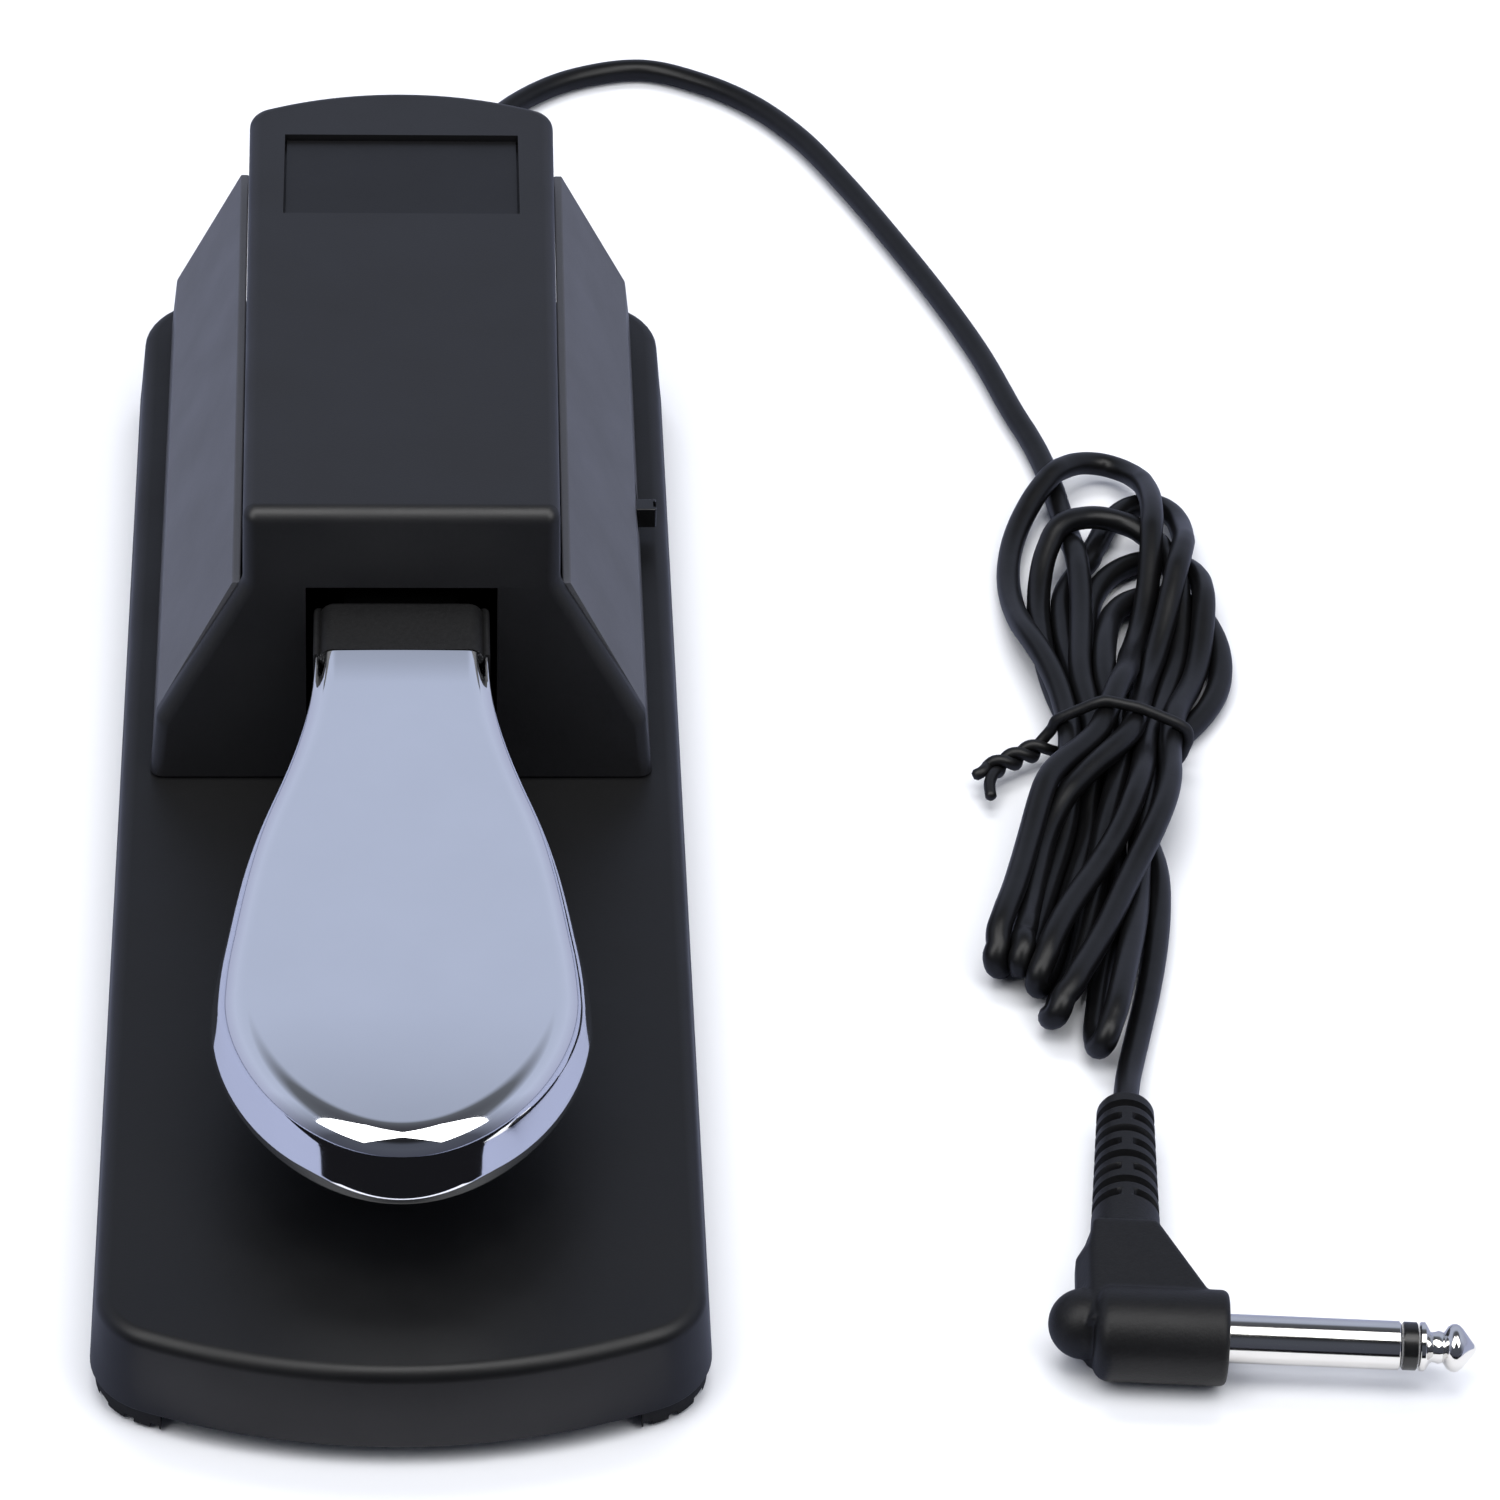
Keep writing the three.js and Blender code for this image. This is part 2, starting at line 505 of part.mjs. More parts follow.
/** The pressed U bracket that holds the axle above the deck. */
function pivotBracket() {
  const { y, z, earX, earThickness, frontY, rearY } = PIVOT;
  const low = BASE.topZ + GAP;
  const ear = [
    [frontY, low], [rearY, low], [rearY - 0.5, z], [y + 3.5, z + 4.5], [y, z + 6], [y - 3.5, z + 4.5],
    [frontY + 0.5, z],
  ];
  const outerX = earX + earThickness;
  const ears = [-outerX, earX].map((x) => sideProfile(ear, x, x + earThickness));
  const floor = block(-outerX, outerX, frontY, rearY, low, low + earThickness);
  return cut(
    join(floor, ...ears),
    barX(-20, 20, y, z, PIVOT.boreRadius),
    ...[-1, 1].map((side) => post(side * BRACKET_SCREW_X, y, 10, 20, SCREW.hole, 10)),
  );
}

function returnSpring() {
  const { radius, wire, turns, lowZ, highZ } = SPRING;
  const steps = turns * 11;
  const rise = highZ - lowZ - 2 * wire;
  const route = Array.from({ length: steps + 1 }, (_, k) => {
    const angle = (2 * Math.PI * turns * k) / steps;
    return [radius * Math.cos(angle), SPRING.y + radius * Math.sin(angle), lowZ + wire + (rise * k) / steps];
  });
  return tube(route, wire, steps, 6);
}

/** A round rubber pad on top of a post. */
function stopPad({ y, lowZ, highZ, radius }) {
  const profile = [[0, lowZ], [radius, lowZ], [radius, highZ - 0.5], [radius - 0.5, highZ], [0, highZ]];
  return turned(profile, 20).translate([0, y, 0]);
}

// ---------------------------------------------------------------- switches

/** The upright block that stands in the switch case's pocket for a moving piece, widened by room. */
const pocket = (y, half, depth, lowZ, room) =>
  block(-half - room, half + room, y - depth - room, y + depth + room, lowZ - 1, 30);

function microswitchBody() {
  const body = block(-SWITCH.half, SWITCH.half, SWITCH.frontY, SWITCH.rearY, SWITCH.lowZ, SWITCH.highZ);
  const plungerPocket = pocket(PLUNGER.y, PLUNGER.half, PLUNGER.depth, PLUNGER.lowZ, GAP);
  const leverPocket = pocket(LEVER.y, LEVER.half, LEVER.leaf / 2, LEVER.hookZ, 0.4);
  const holes = SWITCH.screwY.map((y) => barX(-5, 5, y, SWITCH.screwZ, 1.3, 10));
  return cut(body, plungerPocket, leverPocket, ...holes);
}

/** The switch's spring-steel lever: a hook at the heel and a leaf that rises towards its tip. */
function microswitchLever() {
  const { y, half, leaf, hookZ, heelZ, tipY, tipZ } = LEVER;
  return sideProfile([
    [y + leaf / 2, hookZ], [y + leaf / 2, heelZ + leaf], [tipY, tipZ + leaf], [tipY, tipZ],
    [y - leaf / 2, heelZ], [y - leaf / 2, hookZ],
  ], -half, half);
}

function microswitchPlunger() {
  const { y, half, depth, lowZ, highZ } = PLUNGER;
  return block(-half, half, y - depth, y + depth, lowZ, highZ);
}

/** A screw through the switch case into its wall, along X. */
function switchScrew(y) {
  const head = barX(-SWITCH.half - GAP - 1.4, -SWITCH.half - GAP, y, SWITCH.screwZ, 2, 14);
  return join(head, barX(-4, 5.8, y, SWITCH.screwZ, 1, 10));
}

const polaritySwitch = () => block(25.5, 31.7, 48.5, 68.5, 15.5, 22.6);
const polarityBoard = () => block(23.7, 25.2, 47, 70, 15.5, 24);

/** The polarity switch's knob, which reaches through the slot in the right wing. */
function polarityKnob() {
  const half = KNOB.size / 2;
  return block(31.7 + GAP, KNOB.tipX, KNOB.y - half, KNOB.y + half, KNOB.z - half, KNOB.z + half);
}

// ---------------------------------------------------------------- fasteners

/** A pan-head screw driven upwards, with the top of its head at z. */
function screwUp([x, y], z, length, headRadius = 2.8, headHeight = 1.4) {
  return turned([
    [0, z - headHeight], [headRadius * 0.7, z - headHeight], [headRadius, z - 0.5 * headHeight],
    [headRadius, z], [SCREW.shank, z], [SCREW.shank, z + length], [0, z + length + 0.8],
  ], 10).translate([x, y, 0]);
}

/** A pan-head screw driven downwards, with the underside of its head at z. */
function screwDown([x, y], z, length) {
  return turned([
    [0, z - length], [SCREW.shank, z - length], [SCREW.shank, z], [2.6, z], [2.6, z + 0.7],
    [1.8, z + 1.4], [0, z + 1.4],
  ], 10).translate([x, y, 0]);
}

/** A small screw that holds the cord clamp up against its boss. */
function clampScrew(x) {
  const z = CLAMP.lowZ - GAP;
  return turned([[0, z - 1], [2, z - 1], [2, z], [1, z], [1, z + 5.4], [0, z + 5.4]], 10)
    .translate([x, CLAMP.y, 0]);
}

function cordClamp() {
  const { y, screwX, half, depth, lowZ, highZ } = CLAMP;
  const bar = block(-half, half, y - depth, y + depth, lowZ, highZ);
  return cut(bar, ...[-1, 1].map((side) => post(side * screwX, y, 4, 8, 1.3, 10)));
}

// ---------------------------------------------------------------- lead, hank and plug

/** The rubber boot in the rear skirt: an inner flange, a neck and a tapered tail. */
function cordGland() {
  const neckStart = BASE.halfLength - BASE.wall - GAP;
  const tail = EXIT.y + EXIT.bootLength;
  const profile = [
    [0, neckStart - 1.3], [3.9, neckStart - 1.3], [3.9, neckStart], [2.9, neckStart], [2.9, EXIT.y],
    [4.4, EXIT.y], [4.2, EXIT.y + 1.6], [3.5, EXIT.y + 3], [2.5, tail], [0, tail],
  ];
  const points = profile.map(([radius, y]) => new THREE.Vector2(radius, y));
  return solid(new THREE.LatheGeometry(points, 20).translate(0, 0, EXIT.z));
}

/** The lead inside the base, from the boot to the microswitch. */
function innerLead() {
  const start = BASE.halfLength - BASE.wall - 2 * GAP - 1.3;
  return tube([
    [0, start, EXIT.z], [0, 100, EXIT.z], [0, 87, EXIT.z], [0, 80.5, 9], [0, 77.9, 12], [0, 77.6, 16],
    [0, 77.6, 21],
  ], 1.75, 14);
}

/** The outer shape of the tied hank: a loop-shaped slab with a waist under the tie. */
function cordHank() {
  const outline = new THREE.Shape().setFromPoints(new THREE.CatmullRomCurve3([
    [98, 94], [107, 94.5], [114, 83], [119.5, 60], [120.5, 42], [114.5, 27], [110.8, 19],
    [109.2, 6], [107.6, -3], [103, -9], [101.4, -24], [98, -37], [92.6, -46], [87.4, -38], [82.6, -28],
    [82.6, -16], [86, -2], [91.5, 12], [94.2, 22], [92.6, 38], [90, 60], [93, 82],
  ].map(([x, y]) => new THREE.Vector3(x, y, 0)), true).getSpacedPoints(44).slice(0, 44));
  const slab = new THREE.ExtrudeGeometry(outline, {
    depth: 5, bevelThickness: 2, bevelSize: 1.6, bevelOffset: -1.6, bevelSegments: 1,
  });
  return solid(slab.translate(0, 0, 2.2));
}

/** The wire tie: a flat hoop over the hank's waist and a twisted tail that ends in a fork. */
function cableTie() {
  const [left, right, y] = [91.8, 114.6, 21.5];
  const arch = [
    [left, 0.2], [left + 1, 0.2], [left + 1, 8], [left + 3, 9.6], [right - 3, 9.6], [right - 1, 8],
    [right - 1, 0.2], [right, 0.2], [right, 8.6], [right - 2.6, 10.6], [left + 2.6, 10.6], [left, 8.6],
  ];
  const hoop = frontProfile(arch.reverse(), y - 1.6, y + 1.6);
  const twist = tube([[92.6, 21.5, 3], [90, 21.3, 3.4], [86.5, 20, 3.4], [83.6, 17, 3]], 0.9, 6);
  const tips = [[81.2, 17.6, 2.4], [83.4, 12, 2.2]].map((tip) => tube([[84.2, 17.9, 3], tip], 0.6, 2, 6));
  return join(hoop, twist, ...tips);
}

/** The plug's flexible sleeve, a tapered body laid along its own axis. */
function plugRelief() {
  const from = new THREE.Vector3(...RELIEF.from);
  const axis = new THREE.Vector3(...RELIEF.to).sub(from);
  const length = axis.length();
  const profile = [[0, 0], [RELIEF.thick, 0], [RELIEF.thick, 2], [RELIEF.thin, length], [0, length]];
  const points = profile.map(([radius, y]) => new THREE.Vector2(radius, y));
  const sleeve = new THREE.LatheGeometry(points, 20);
  const turn = new THREE.Quaternion().setFromUnitVectors(new THREE.Vector3(0, 1, 0), axis.normalize());
  return solid(sleeve.applyQuaternion(turn).translate(from.x, from.y, from.z));
}

/** The angled plug's moulding, in the plug's frame: barrel along +X, neck along +Y. */
function plugBody() {
  const { barrelLength, barrelRadius } = PLUG;
  const barrel = barX(0, barrelLength, 0, 0, barrelRadius, 28);
  const neckOutline = polygon([
    [0.6, 0], [barrelLength - 0.6, 0], [barrelLength - 0.8, 5.5], [10.3, 21.6], [0.9, 21.6], [0.4, 6],
  ]);
  const neck = new THREE.ExtrudeGeometry(neckOutline, {
    depth: 5, bevelThickness: 2.4, bevelSize: 2.2, bevelOffset: -2.2, bevelSegments: 2,
  });
  const dome = new THREE.SphereGeometry(4.5, 20, 12).translate(-1.2, 1.6, 0);
  return join(barrel, solid(neck.translate(0, 0, -2.5)), solid(dome));
}

/** A turned piece of the jack, from [radius, x] pairs, along the plug's +X. */
function jackPiece(profile) {
  const points = profile.map(([radius, x]) => new THREE.Vector2(radius, PLUG.barrelLength + x));
  return solid(new THREE.LatheGeometry(points, 24).rotateZ(-Math.PI / 2));
}

const plugSleeve = () => jackPiece([[0, GAP], [3.175, GAP], [3.175, 21.6], [0, 21.6]]);
const plugInsulator = () => jackPiece([[0, 21.9], [3.1, 21.9], [3.1, 23.7], [0, 23.7]]);
const plugTip = () => jackPiece([
  [0, 24], [3.175, 24], [3.175, 24.8], [1.9, 26], [1.9, 26.6], [3.1, 28], [3.1, 29], [0.5, 31.3], [0, 31.4],
]);

// ---------------------------------------------------------------- assembly

const assembly = new THREE.Group();

function place(parent, name, finish, body) {
  const [color, roughness, metalness] = COLOURS[finish];
  const material = new THREE.MeshStandardMaterial({ color, roughness, metalness });
  const mesh = new THREE.Mesh(geometryOf(body), material);
  mesh.name = name;
  parent.add(mesh);
}

const add = (name, finish, body) => place(assembly, name, finish, body);

add('base_shell', 'base', baseShell());
add('bottom_plate', 'steel', bottomPlate());
footPlaces().forEach((spot) => add(`foot_${spot.corner}`, 'rubber', foot(spot)));
add('upper_housing', 'housing', upperHousing());
add('wing_left', 'wing', wing(-1));
add('wing_right', 'wing', wing(1));
add('nameplate', 'gloss', nameplate());

add('pedal_arm', 'arm', pedalArm());
add('pedal_shell', 'chrome', pedalShell());
add('shell_screw_rear', 'steel', shellScrew(SHELL_SCREW_Y[0]));
add('shell_screw_front', 'steel', shellScrew(SHELL_SCREW_Y[1]));
add('pivot_bush_left', 'nylon', pivotBush(-1));
add('pivot_bush_right', 'nylon', pivotBush(1));
add('pivot_axle', 'steel', pivotAxle());
add('axle_clip_left', 'steel', axleClip(-1));
add('axle_clip_right', 'steel', axleClip(1));
add('pivot_bracket', 'steel', pivotBracket());
add('return_spring', 'steel', returnSpring());
add('down_stop_pad', 'rubber', stopPad(STOP_PADS.down));
add('rest_stop_pad', 'rubber', stopPad(STOP_PADS.rest));

add('microswitch_body', 'gloss', microswitchBody());
add('microswitch_lever', 'steel', microswitchLever());
add('microswitch_plunger', 'nylon', microswitchPlunger());
SWITCH.screwY.forEach((y, k) => add(`switch_screw_${k + 1}`, 'steel', switchScrew(y)));
add('polarity_switch_body', 'steel', polaritySwitch());
add('polarity_board', 'board', polarityBoard());
add('polarity_knob', 'gloss', polarityKnob());

const deckUnder = BASE.topZ - BASE.deck - GAP;
HOUSING_SCREWS.forEach((spot, k) => add(`housing_screw_${k + 1}`, 'steel', screwUp(spot, deckUnder, 14)));
WING_SCREWS.forEach((spot, k) => add(`wing_screw_${k + 1}`, 'steel', screwUp(spot, deckUnder, 8)));
PLATE_SCREWS.forEach((spot, k) => add(`plate_screw_${k + 1}`, 'steel', screwUp(spot, BASE.skirtZ - GAP, 6)));
[-1, 1].forEach((side) => {
  const hand = side < 0 ? 'left' : 'right';
  const spot = [side * BRACKET_SCREW_X, PIVOT.y];
  add(`bracket_screw_${hand}`, 'steel', screwDown(spot, BASE.topZ + 2 * GAP + 1.5, 7));
  add(`clamp_screw_${hand}`, 'steel', clampScrew(side * CLAMP.screwX));
});
add('cord_clamp', 'steel', cordClamp());

add('cord_gland', 'rubber', cordGland());
add('inner_lead', 'cable', innerLead());
add('cord_lead', 'cable', tube(LEAD_ROUTE, CORD_RADIUS, 46));
add('cord_hank', 'cable', cordHank());
add('cord_tail', 'cable', tube(TAIL_ROUTE, CORD_RADIUS, 12));
add('cable_tie', 'gloss', cableTie());
add('plug_relief', 'rubber', plugRelief());

const plug = new THREE.Group();
plug.position.set(PLUG.x, PLUG.y, PLUG.z);
plug.rotation.z = THREE.MathUtils.degToRad(PLUG.turn);
assembly.add(plug);
place(plug, 'plug_body', 'rubber', plugBody());
place(plug, 'plug_sleeve', 'nickel', plugSleeve());
place(plug, 'plug_insulator', 'gloss', plugInsulator());
place(plug, 'plug_tip', 'nickel', plugTip());

export default assembly;
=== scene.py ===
import math

import bmesh
import bpy
import numpy as np
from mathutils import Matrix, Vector


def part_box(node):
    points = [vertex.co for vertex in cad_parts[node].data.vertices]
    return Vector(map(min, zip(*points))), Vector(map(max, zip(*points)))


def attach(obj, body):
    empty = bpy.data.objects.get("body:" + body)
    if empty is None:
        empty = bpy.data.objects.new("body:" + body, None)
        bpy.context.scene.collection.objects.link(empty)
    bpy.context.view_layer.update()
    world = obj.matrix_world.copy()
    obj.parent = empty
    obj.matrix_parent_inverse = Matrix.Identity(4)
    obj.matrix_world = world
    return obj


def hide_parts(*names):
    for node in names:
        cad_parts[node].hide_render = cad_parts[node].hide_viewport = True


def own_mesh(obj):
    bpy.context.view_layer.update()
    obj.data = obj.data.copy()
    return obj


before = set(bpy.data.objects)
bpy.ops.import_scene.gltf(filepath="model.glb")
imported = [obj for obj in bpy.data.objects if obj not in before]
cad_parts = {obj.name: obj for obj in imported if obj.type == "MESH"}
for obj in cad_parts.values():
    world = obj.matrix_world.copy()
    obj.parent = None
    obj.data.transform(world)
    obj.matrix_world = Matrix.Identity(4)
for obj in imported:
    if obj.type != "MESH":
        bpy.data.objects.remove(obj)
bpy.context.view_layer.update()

# A sustain pedal: black base, narrow housing with two grey wings, chromed pear-shaped pedal, and a
# lead tied in a hank that ends in an angled jack plug. Shapes are worked out in millimetres, in the
# frame's axes, and become metres when an object is made. -Y points to the toe of the pedal.

MM = 0.001
SCENE = bpy.context.scene


def corners(node):
    """Lowest and highest corner of a CAD node, in millimetres."""
    low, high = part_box(node)
    return np.array(low) / MM, np.array(high) / MM


def middle_of(node):
    """Middle of a CAD node's box, in millimetres."""
    low, high = corners(node)
    return (low + high) / 2


# ---------------------------------------------------------------- camera

CAMERA_PLACE = (-0.00052, -0.7367, 0.59449)
CAMERA_YAW, CAMERA_PITCH, CAMERA_ROLL = 3.8, 37.865, 2.354   # degrees to the right, down, and over
CAMERA_LENS, CAMERA_SENSOR = 161.33, 36


def make_camera():
    """The camera at its fitted place, turned by yaw, pitch and roll from looking along +Y."""
    yaw, pitch, roll = (math.radians(a) for a in (CAMERA_YAW, CAMERA_PITCH, CAMERA_ROLL))
    data = bpy.data.cameras.new("camera")
    data.lens, data.sensor_width, data.clip_end = CAMERA_LENS, CAMERA_SENSOR, 20
    camera = bpy.data.objects.new("camera", data)
    SCENE.collection.objects.link(camera)
    ahead = Vector((math.sin(yaw) * math.cos(pitch), math.cos(yaw) * math.cos(pitch), -math.sin(pitch)))
    side = ahead.cross(Vector((0, 0, 1))).normalized()
    above = side.cross(ahead)
    right = math.cos(roll) * side + math.sin(roll) * above
    up = -math.sin(roll) * side + math.cos(roll) * above
    matrix = camera.matrix_world.copy()
    for row in range(3):
        matrix[row][0], matrix[row][1], matrix[row][2] = right[row], up[row], -ahead[row]
        matrix[row][3] = CAMERA_PLACE[row]
    camera.matrix_world = matrix
    SCENE.camera = camera


make_camera()

# ---------------------------------------------------------------- materials

MATERIALS = {}


def material(name, colour, roughness, metallic=0.0, specular=0.5, grain=0.0, depth=0.0, mottle=0.12,
             uneven=0.1, brushed=None):
    """A procedural finish. grain is the size of the moulding grain and depth its height, both in
    millimetres; mottle and uneven are how far colour and roughness wander; brushed is (axis, lines
    per millimetre)."""
    made = bpy.data.materials.new(name)
    made.use_nodes = True
    nodes, links = made.node_tree.nodes, made.node_tree.links
    shader = nodes["Principled BSDF"]
    shader.inputs["Metallic"].default_value = metallic
    shader.inputs["Specular IOR Level"].default_value = specular
    place = nodes.new("ShaderNodeTexCoord")

    def noise(size, detail, roughness_of_noise=0.5):
        node = nodes.new("ShaderNodeTexNoise")
        node.inputs["Scale"].default_value = 1 / (size * MM)
        node.inputs["Detail"].default_value = detail
        node.inputs["Roughness"].default_value = roughness_of_noise
        links.new(place.outputs["Object"], node.inputs["Vector"])
        return node.outputs["Fac"]

    def spread(source, low, high):
        node = nodes.new("ShaderNodeMapRange")
        node.inputs["From Min"].default_value, node.inputs["From Max"].default_value = 0.3, 0.7
        node.inputs["To Min"].default_value, node.inputs["To Max"].default_value = low, high
        links.new(source, node.inputs["Value"])
        return node.outputs["Result"]

    ramp = nodes.new("ShaderNodeValToRGB")
    ramp.color_ramp.elements[0].position, ramp.color_ramp.elements[1].position = 0.3, 0.7
    ramp.color_ramp.elements[0].color = (*[c * (1 - mottle) for c in colour], 1)
    ramp.color_ramp.elements[1].color = (*[min(c * (1 + mottle), 1) for c in colour], 1)
    links.new(noise(grain * 1.5 if grain else 9, 3), ramp.inputs["Fac"])
    links.new(ramp.outputs["Color"], shader.inputs["Base Color"])
    links.new(spread(noise(14, 4), roughness * (1 - uneven), roughness * (1 + uneven)),
              shader.inputs["Roughness"])
    height = None
    if brushed:
        axis, lines = brushed
        squeeze = nodes.new("ShaderNodeMapping")
        squeeze.inputs["Scale"].default_value = [lines / MM if k == axis else 40 for k in range(3)]
        links.new(place.outputs["Object"], squeeze.inputs["Vector"])
        streaks = nodes.new("ShaderNodeTexNoise")
        streaks.inputs["Scale"].default_value = 1
        links.new(squeeze.outputs["Vector"], streaks.inputs["Vector"])
        height = streaks.outputs["Fac"]
    elif grain:
        height = noise(grain, 2, 0.6)
    if height:
        bump = nodes.new("ShaderNodeBump")
        bump.inputs["Strength"].default_value = 0.8
        bump.inputs["Distance"].default_value = depth * MM
        links.new(height, bump.inputs["Height"])
        links.new(bump.outputs["Normal"], shader.inputs["Normal"])
    MATERIALS[name] = made


material("base_plastic", (0.0034, 0.0034, 0.0038), 0.44, specular=0.40, grain=0.35, depth=0.012)
material("plate_paint", (0.020, 0.020, 0.022), 0.42, grain=0.8, depth=0.015)
material("foot_rubber", (0.009, 0.009, 0.010), 0.80, specular=0.3, grain=0.5, depth=0.03)
material("housing_plastic", (0.0066, 0.0066, 0.0074), 0.42, specular=0.50, grain=0.30, depth=0.014)
material("wing_plastic", (0.066, 0.067, 0.076), 0.40, specular=0.45, grain=0.25, depth=0.005, mottle=0.05)
material("nameplate_plastic", (0.0048, 0.0048, 0.0054), 0.40, specular=0.38, grain=0.25, depth=0.006)
material("arm_plastic", (0.0080, 0.0080, 0.0084), 0.50, specular=0.42, grain=0.42, depth=0.05, mottle=0.25)
material("pedal_chrome", (0.90, 0.91, 0.94), 0.045, metallic=1, mottle=0.01, uneven=0.35)
material("inner_steel", (0.50, 0.50, 0.51), 0.34, metallic=1, brushed=(1, 6), depth=0.01, mottle=0.06)
material("spring_steel", (0.42, 0.42, 0.43), 0.28, metallic=1, brushed=(2, 5), depth=0.008, mottle=0.08)
material("pad_rubber", (0.011, 0.011, 0.012), 0.85, specular=0.3, grain=0.4, depth=0.03)
material("nylon", (0.66, 0.64, 0.58), 0.45, grain=0.6, depth=0.01, mottle=0.04)
material("switch_plastic", (0.014, 0.014, 0.015), 0.42, grain=0.4, depth=0.01)
material("board", (0.016, 0.085, 0.040), 0.35, specular=0.5, grain=0.9, depth=0.01)
material("knob_gloss", (0.0045, 0.0045, 0.005), 0.16, specular=0.5, grain=2.0, depth=0.002)
material("clamp_plastic", (0.015, 0.015, 0.016), 0.45, grain=0.5, depth=0.01)
material("screw_steel", (0.36, 0.36, 0.37), 0.30, metallic=1, brushed=(2, 4), depth=0.008, mottle=0.08)
material("boot_rubber", (0.009, 0.009, 0.010), 0.55, specular=0.4, grain=0.4, depth=0.015)
material("cable_jacket", (0.0036, 0.0036, 0.0040), 0.36, specular=0.34, grain=1.6, depth=0.018, mottle=0.2)
material("tie_plastic", (0.0050, 0.0050, 0.0055), 0.45, specular=0.4, grain=0.5, depth=0.02)
material("plug_moulding", (0.0052, 0.0052, 0.0058), 0.48, specular=0.30, grain=0.38, depth=0.04, mottle=0.2)
material("plug_metal", (0.76, 0.75, 0.73), 0.10, metallic=1, mottle=0.02, uneven=0.3)
material("plug_ring", (0.006, 0.006, 0.006), 0.25, grain=1.0, depth=0.003)

# ---------------------------------------------------------------- mesh helpers


def build(name, verts, faces):
    """A mesh object from points in millimetres, its doubles merged and its faces turned outward."""
    mesh = bpy.data.meshes.new(name)
    mesh.from_pydata([tuple(v) for v in np.asarray(verts, float) * MM], [], faces)
    work = bmesh.new()
    work.from_mesh(mesh)
    bmesh.ops.remove_doubles(work, verts=work.verts, dist=0.0005 * MM)
    bmesh.ops.recalc_face_normals(work, faces=work.faces)
    work.to_mesh(mesh)
    work.free()
    obj = bpy.data.objects.new(name, mesh)
    SCENE.collection.objects.link(obj)
    return obj


def bake(obj):
    """Applies a piece's modifiers."""
    graph = bpy.context.evaluated_depsgraph_get()
    mesh = bpy.data.meshes.new_from_object(obj.evaluated_get(graph))
    obj.modifiers.clear()
    obj.data = mesh
    return obj


def combine(obj, operation, *tools):
    """Joins tools to obj, or cuts them from it."""
    for tool in tools:
        step = obj.modifiers.new("combine", "BOOLEAN")
        step.operation, step.solver, step.object = operation, "EXACT", tool
        bake(obj)
        bpy.data.objects.remove(tool)
    return obj


def bevelled(obj, width, segments=3, angle=50):
    """Rounds every edge sharper than angle."""
    step = obj.modifiers.new("bevel", "BEVEL")
    step.width, step.segments, step.angle_limit = width * MM, segments, math.radians(angle)
    step.limit_method = "ANGLE"
    step.harden_normals = False
    return bake(obj)


def piece(obj, finish, body="root", replaces=(), sharp=32, weigh=True):
    """Gives a finished mesh its shading, material and body, and hides the CAD nodes that it stands for.

    Edges sharper than sharp degrees stay crisp; weigh lets large faces decide the shading beside them."""
    obj.data.materials.clear()
    obj.data.materials.append(MATERIALS[finish])
    for polygon in obj.data.polygons:
        polygon.use_smooth = True
    obj.data.set_sharp_from_angle(angle=math.radians(sharp))
    if weigh:
        step = obj.modifiers.new("normals", "WEIGHTED_NORMAL")
        step.keep_sharp = True
        bake(obj)
    if replaces:
        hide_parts(*replaces)
    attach(obj, body)
    return obj


def loft(rings, caps=True, ring_closed=True, stack_closed=False):
    """Points and faces of a skin over rings that have the same number of points."""
    rings = [np.asarray(ring, float) for ring in rings]
    count, levels = len(rings[0]), len(rings)
    faces = []
    for level in range(levels if stack_closed else levels - 1):
        base, above = level * count, (level + 1) % levels * count
        for i in range(count if ring_closed else count - 1):
            j = (i + 1) % count
            faces.append((base + i, base + j, above + j, above + i))
    if caps:
        faces.append(tuple(range(count))[::-1])
        faces.append(tuple(range((levels - 1) * count, levels * count)))
    return np.vstack(rings), faces


def frame_about(axis):
    """An axis as a unit vector, and two directions at right angles to it."""
    axis = Vector(axis).normalized()
    first = axis.orthogonal().normalized()
    return np.array(axis), np.array(first), np.array(axis.cross(first))


def revolve(name, profile, origin=(0, 0, 0), axis=(0, 0, 1), sides=48, closed=False):
    """A body of revolution from (radius, distance along axis) pairs."""
    along, first, second = frame_about(axis)
    turn = np.linspace(0, 2 * np.pi, sides, endpoint=False)
    circle = np.outer(np.cos(turn), first) + np.outer(np.sin(turn), second)
    rings = [np.array(origin) + along * distance + circle * max(radius, 0) for radius, distance in profile]
    return build(name, *loft(rings, caps=not closed, stack_closed=closed))


def bar(name, start, end, radius, sides=40, edge=0.0):
    """A round bar between two points, its ends rounded by edge."""
    start, end = np.array(start, float), np.array(end, float)
    length = np.linalg.norm(end - start)
    turns = np.linspace(0, np.pi / 2, 4) if edge else [0]
    low = [(radius - edge + edge * math.sin(t), edge - edge * math.cos(t)) for t in turns]
    profile = [(0, 0), *low, *[(r, length - d) for r, d in reversed(low)], (0, length)]
    return revolve(name, profile, start, end - start, sides)


def block(name, low, high, edge=0.0):
    """A box between two corners, its edges rounded by edge."""
    (x0, y0, z0), (x1, y1, z1) = low, high
    plan = np.array([(x0, y0), (x1, y0), (x1, y1), (x0, y1)])
    obj = build(name, *loft([at_height(plan, z) for z in (z0, z1)]))
    return bevelled(obj, edge) if edge else obj


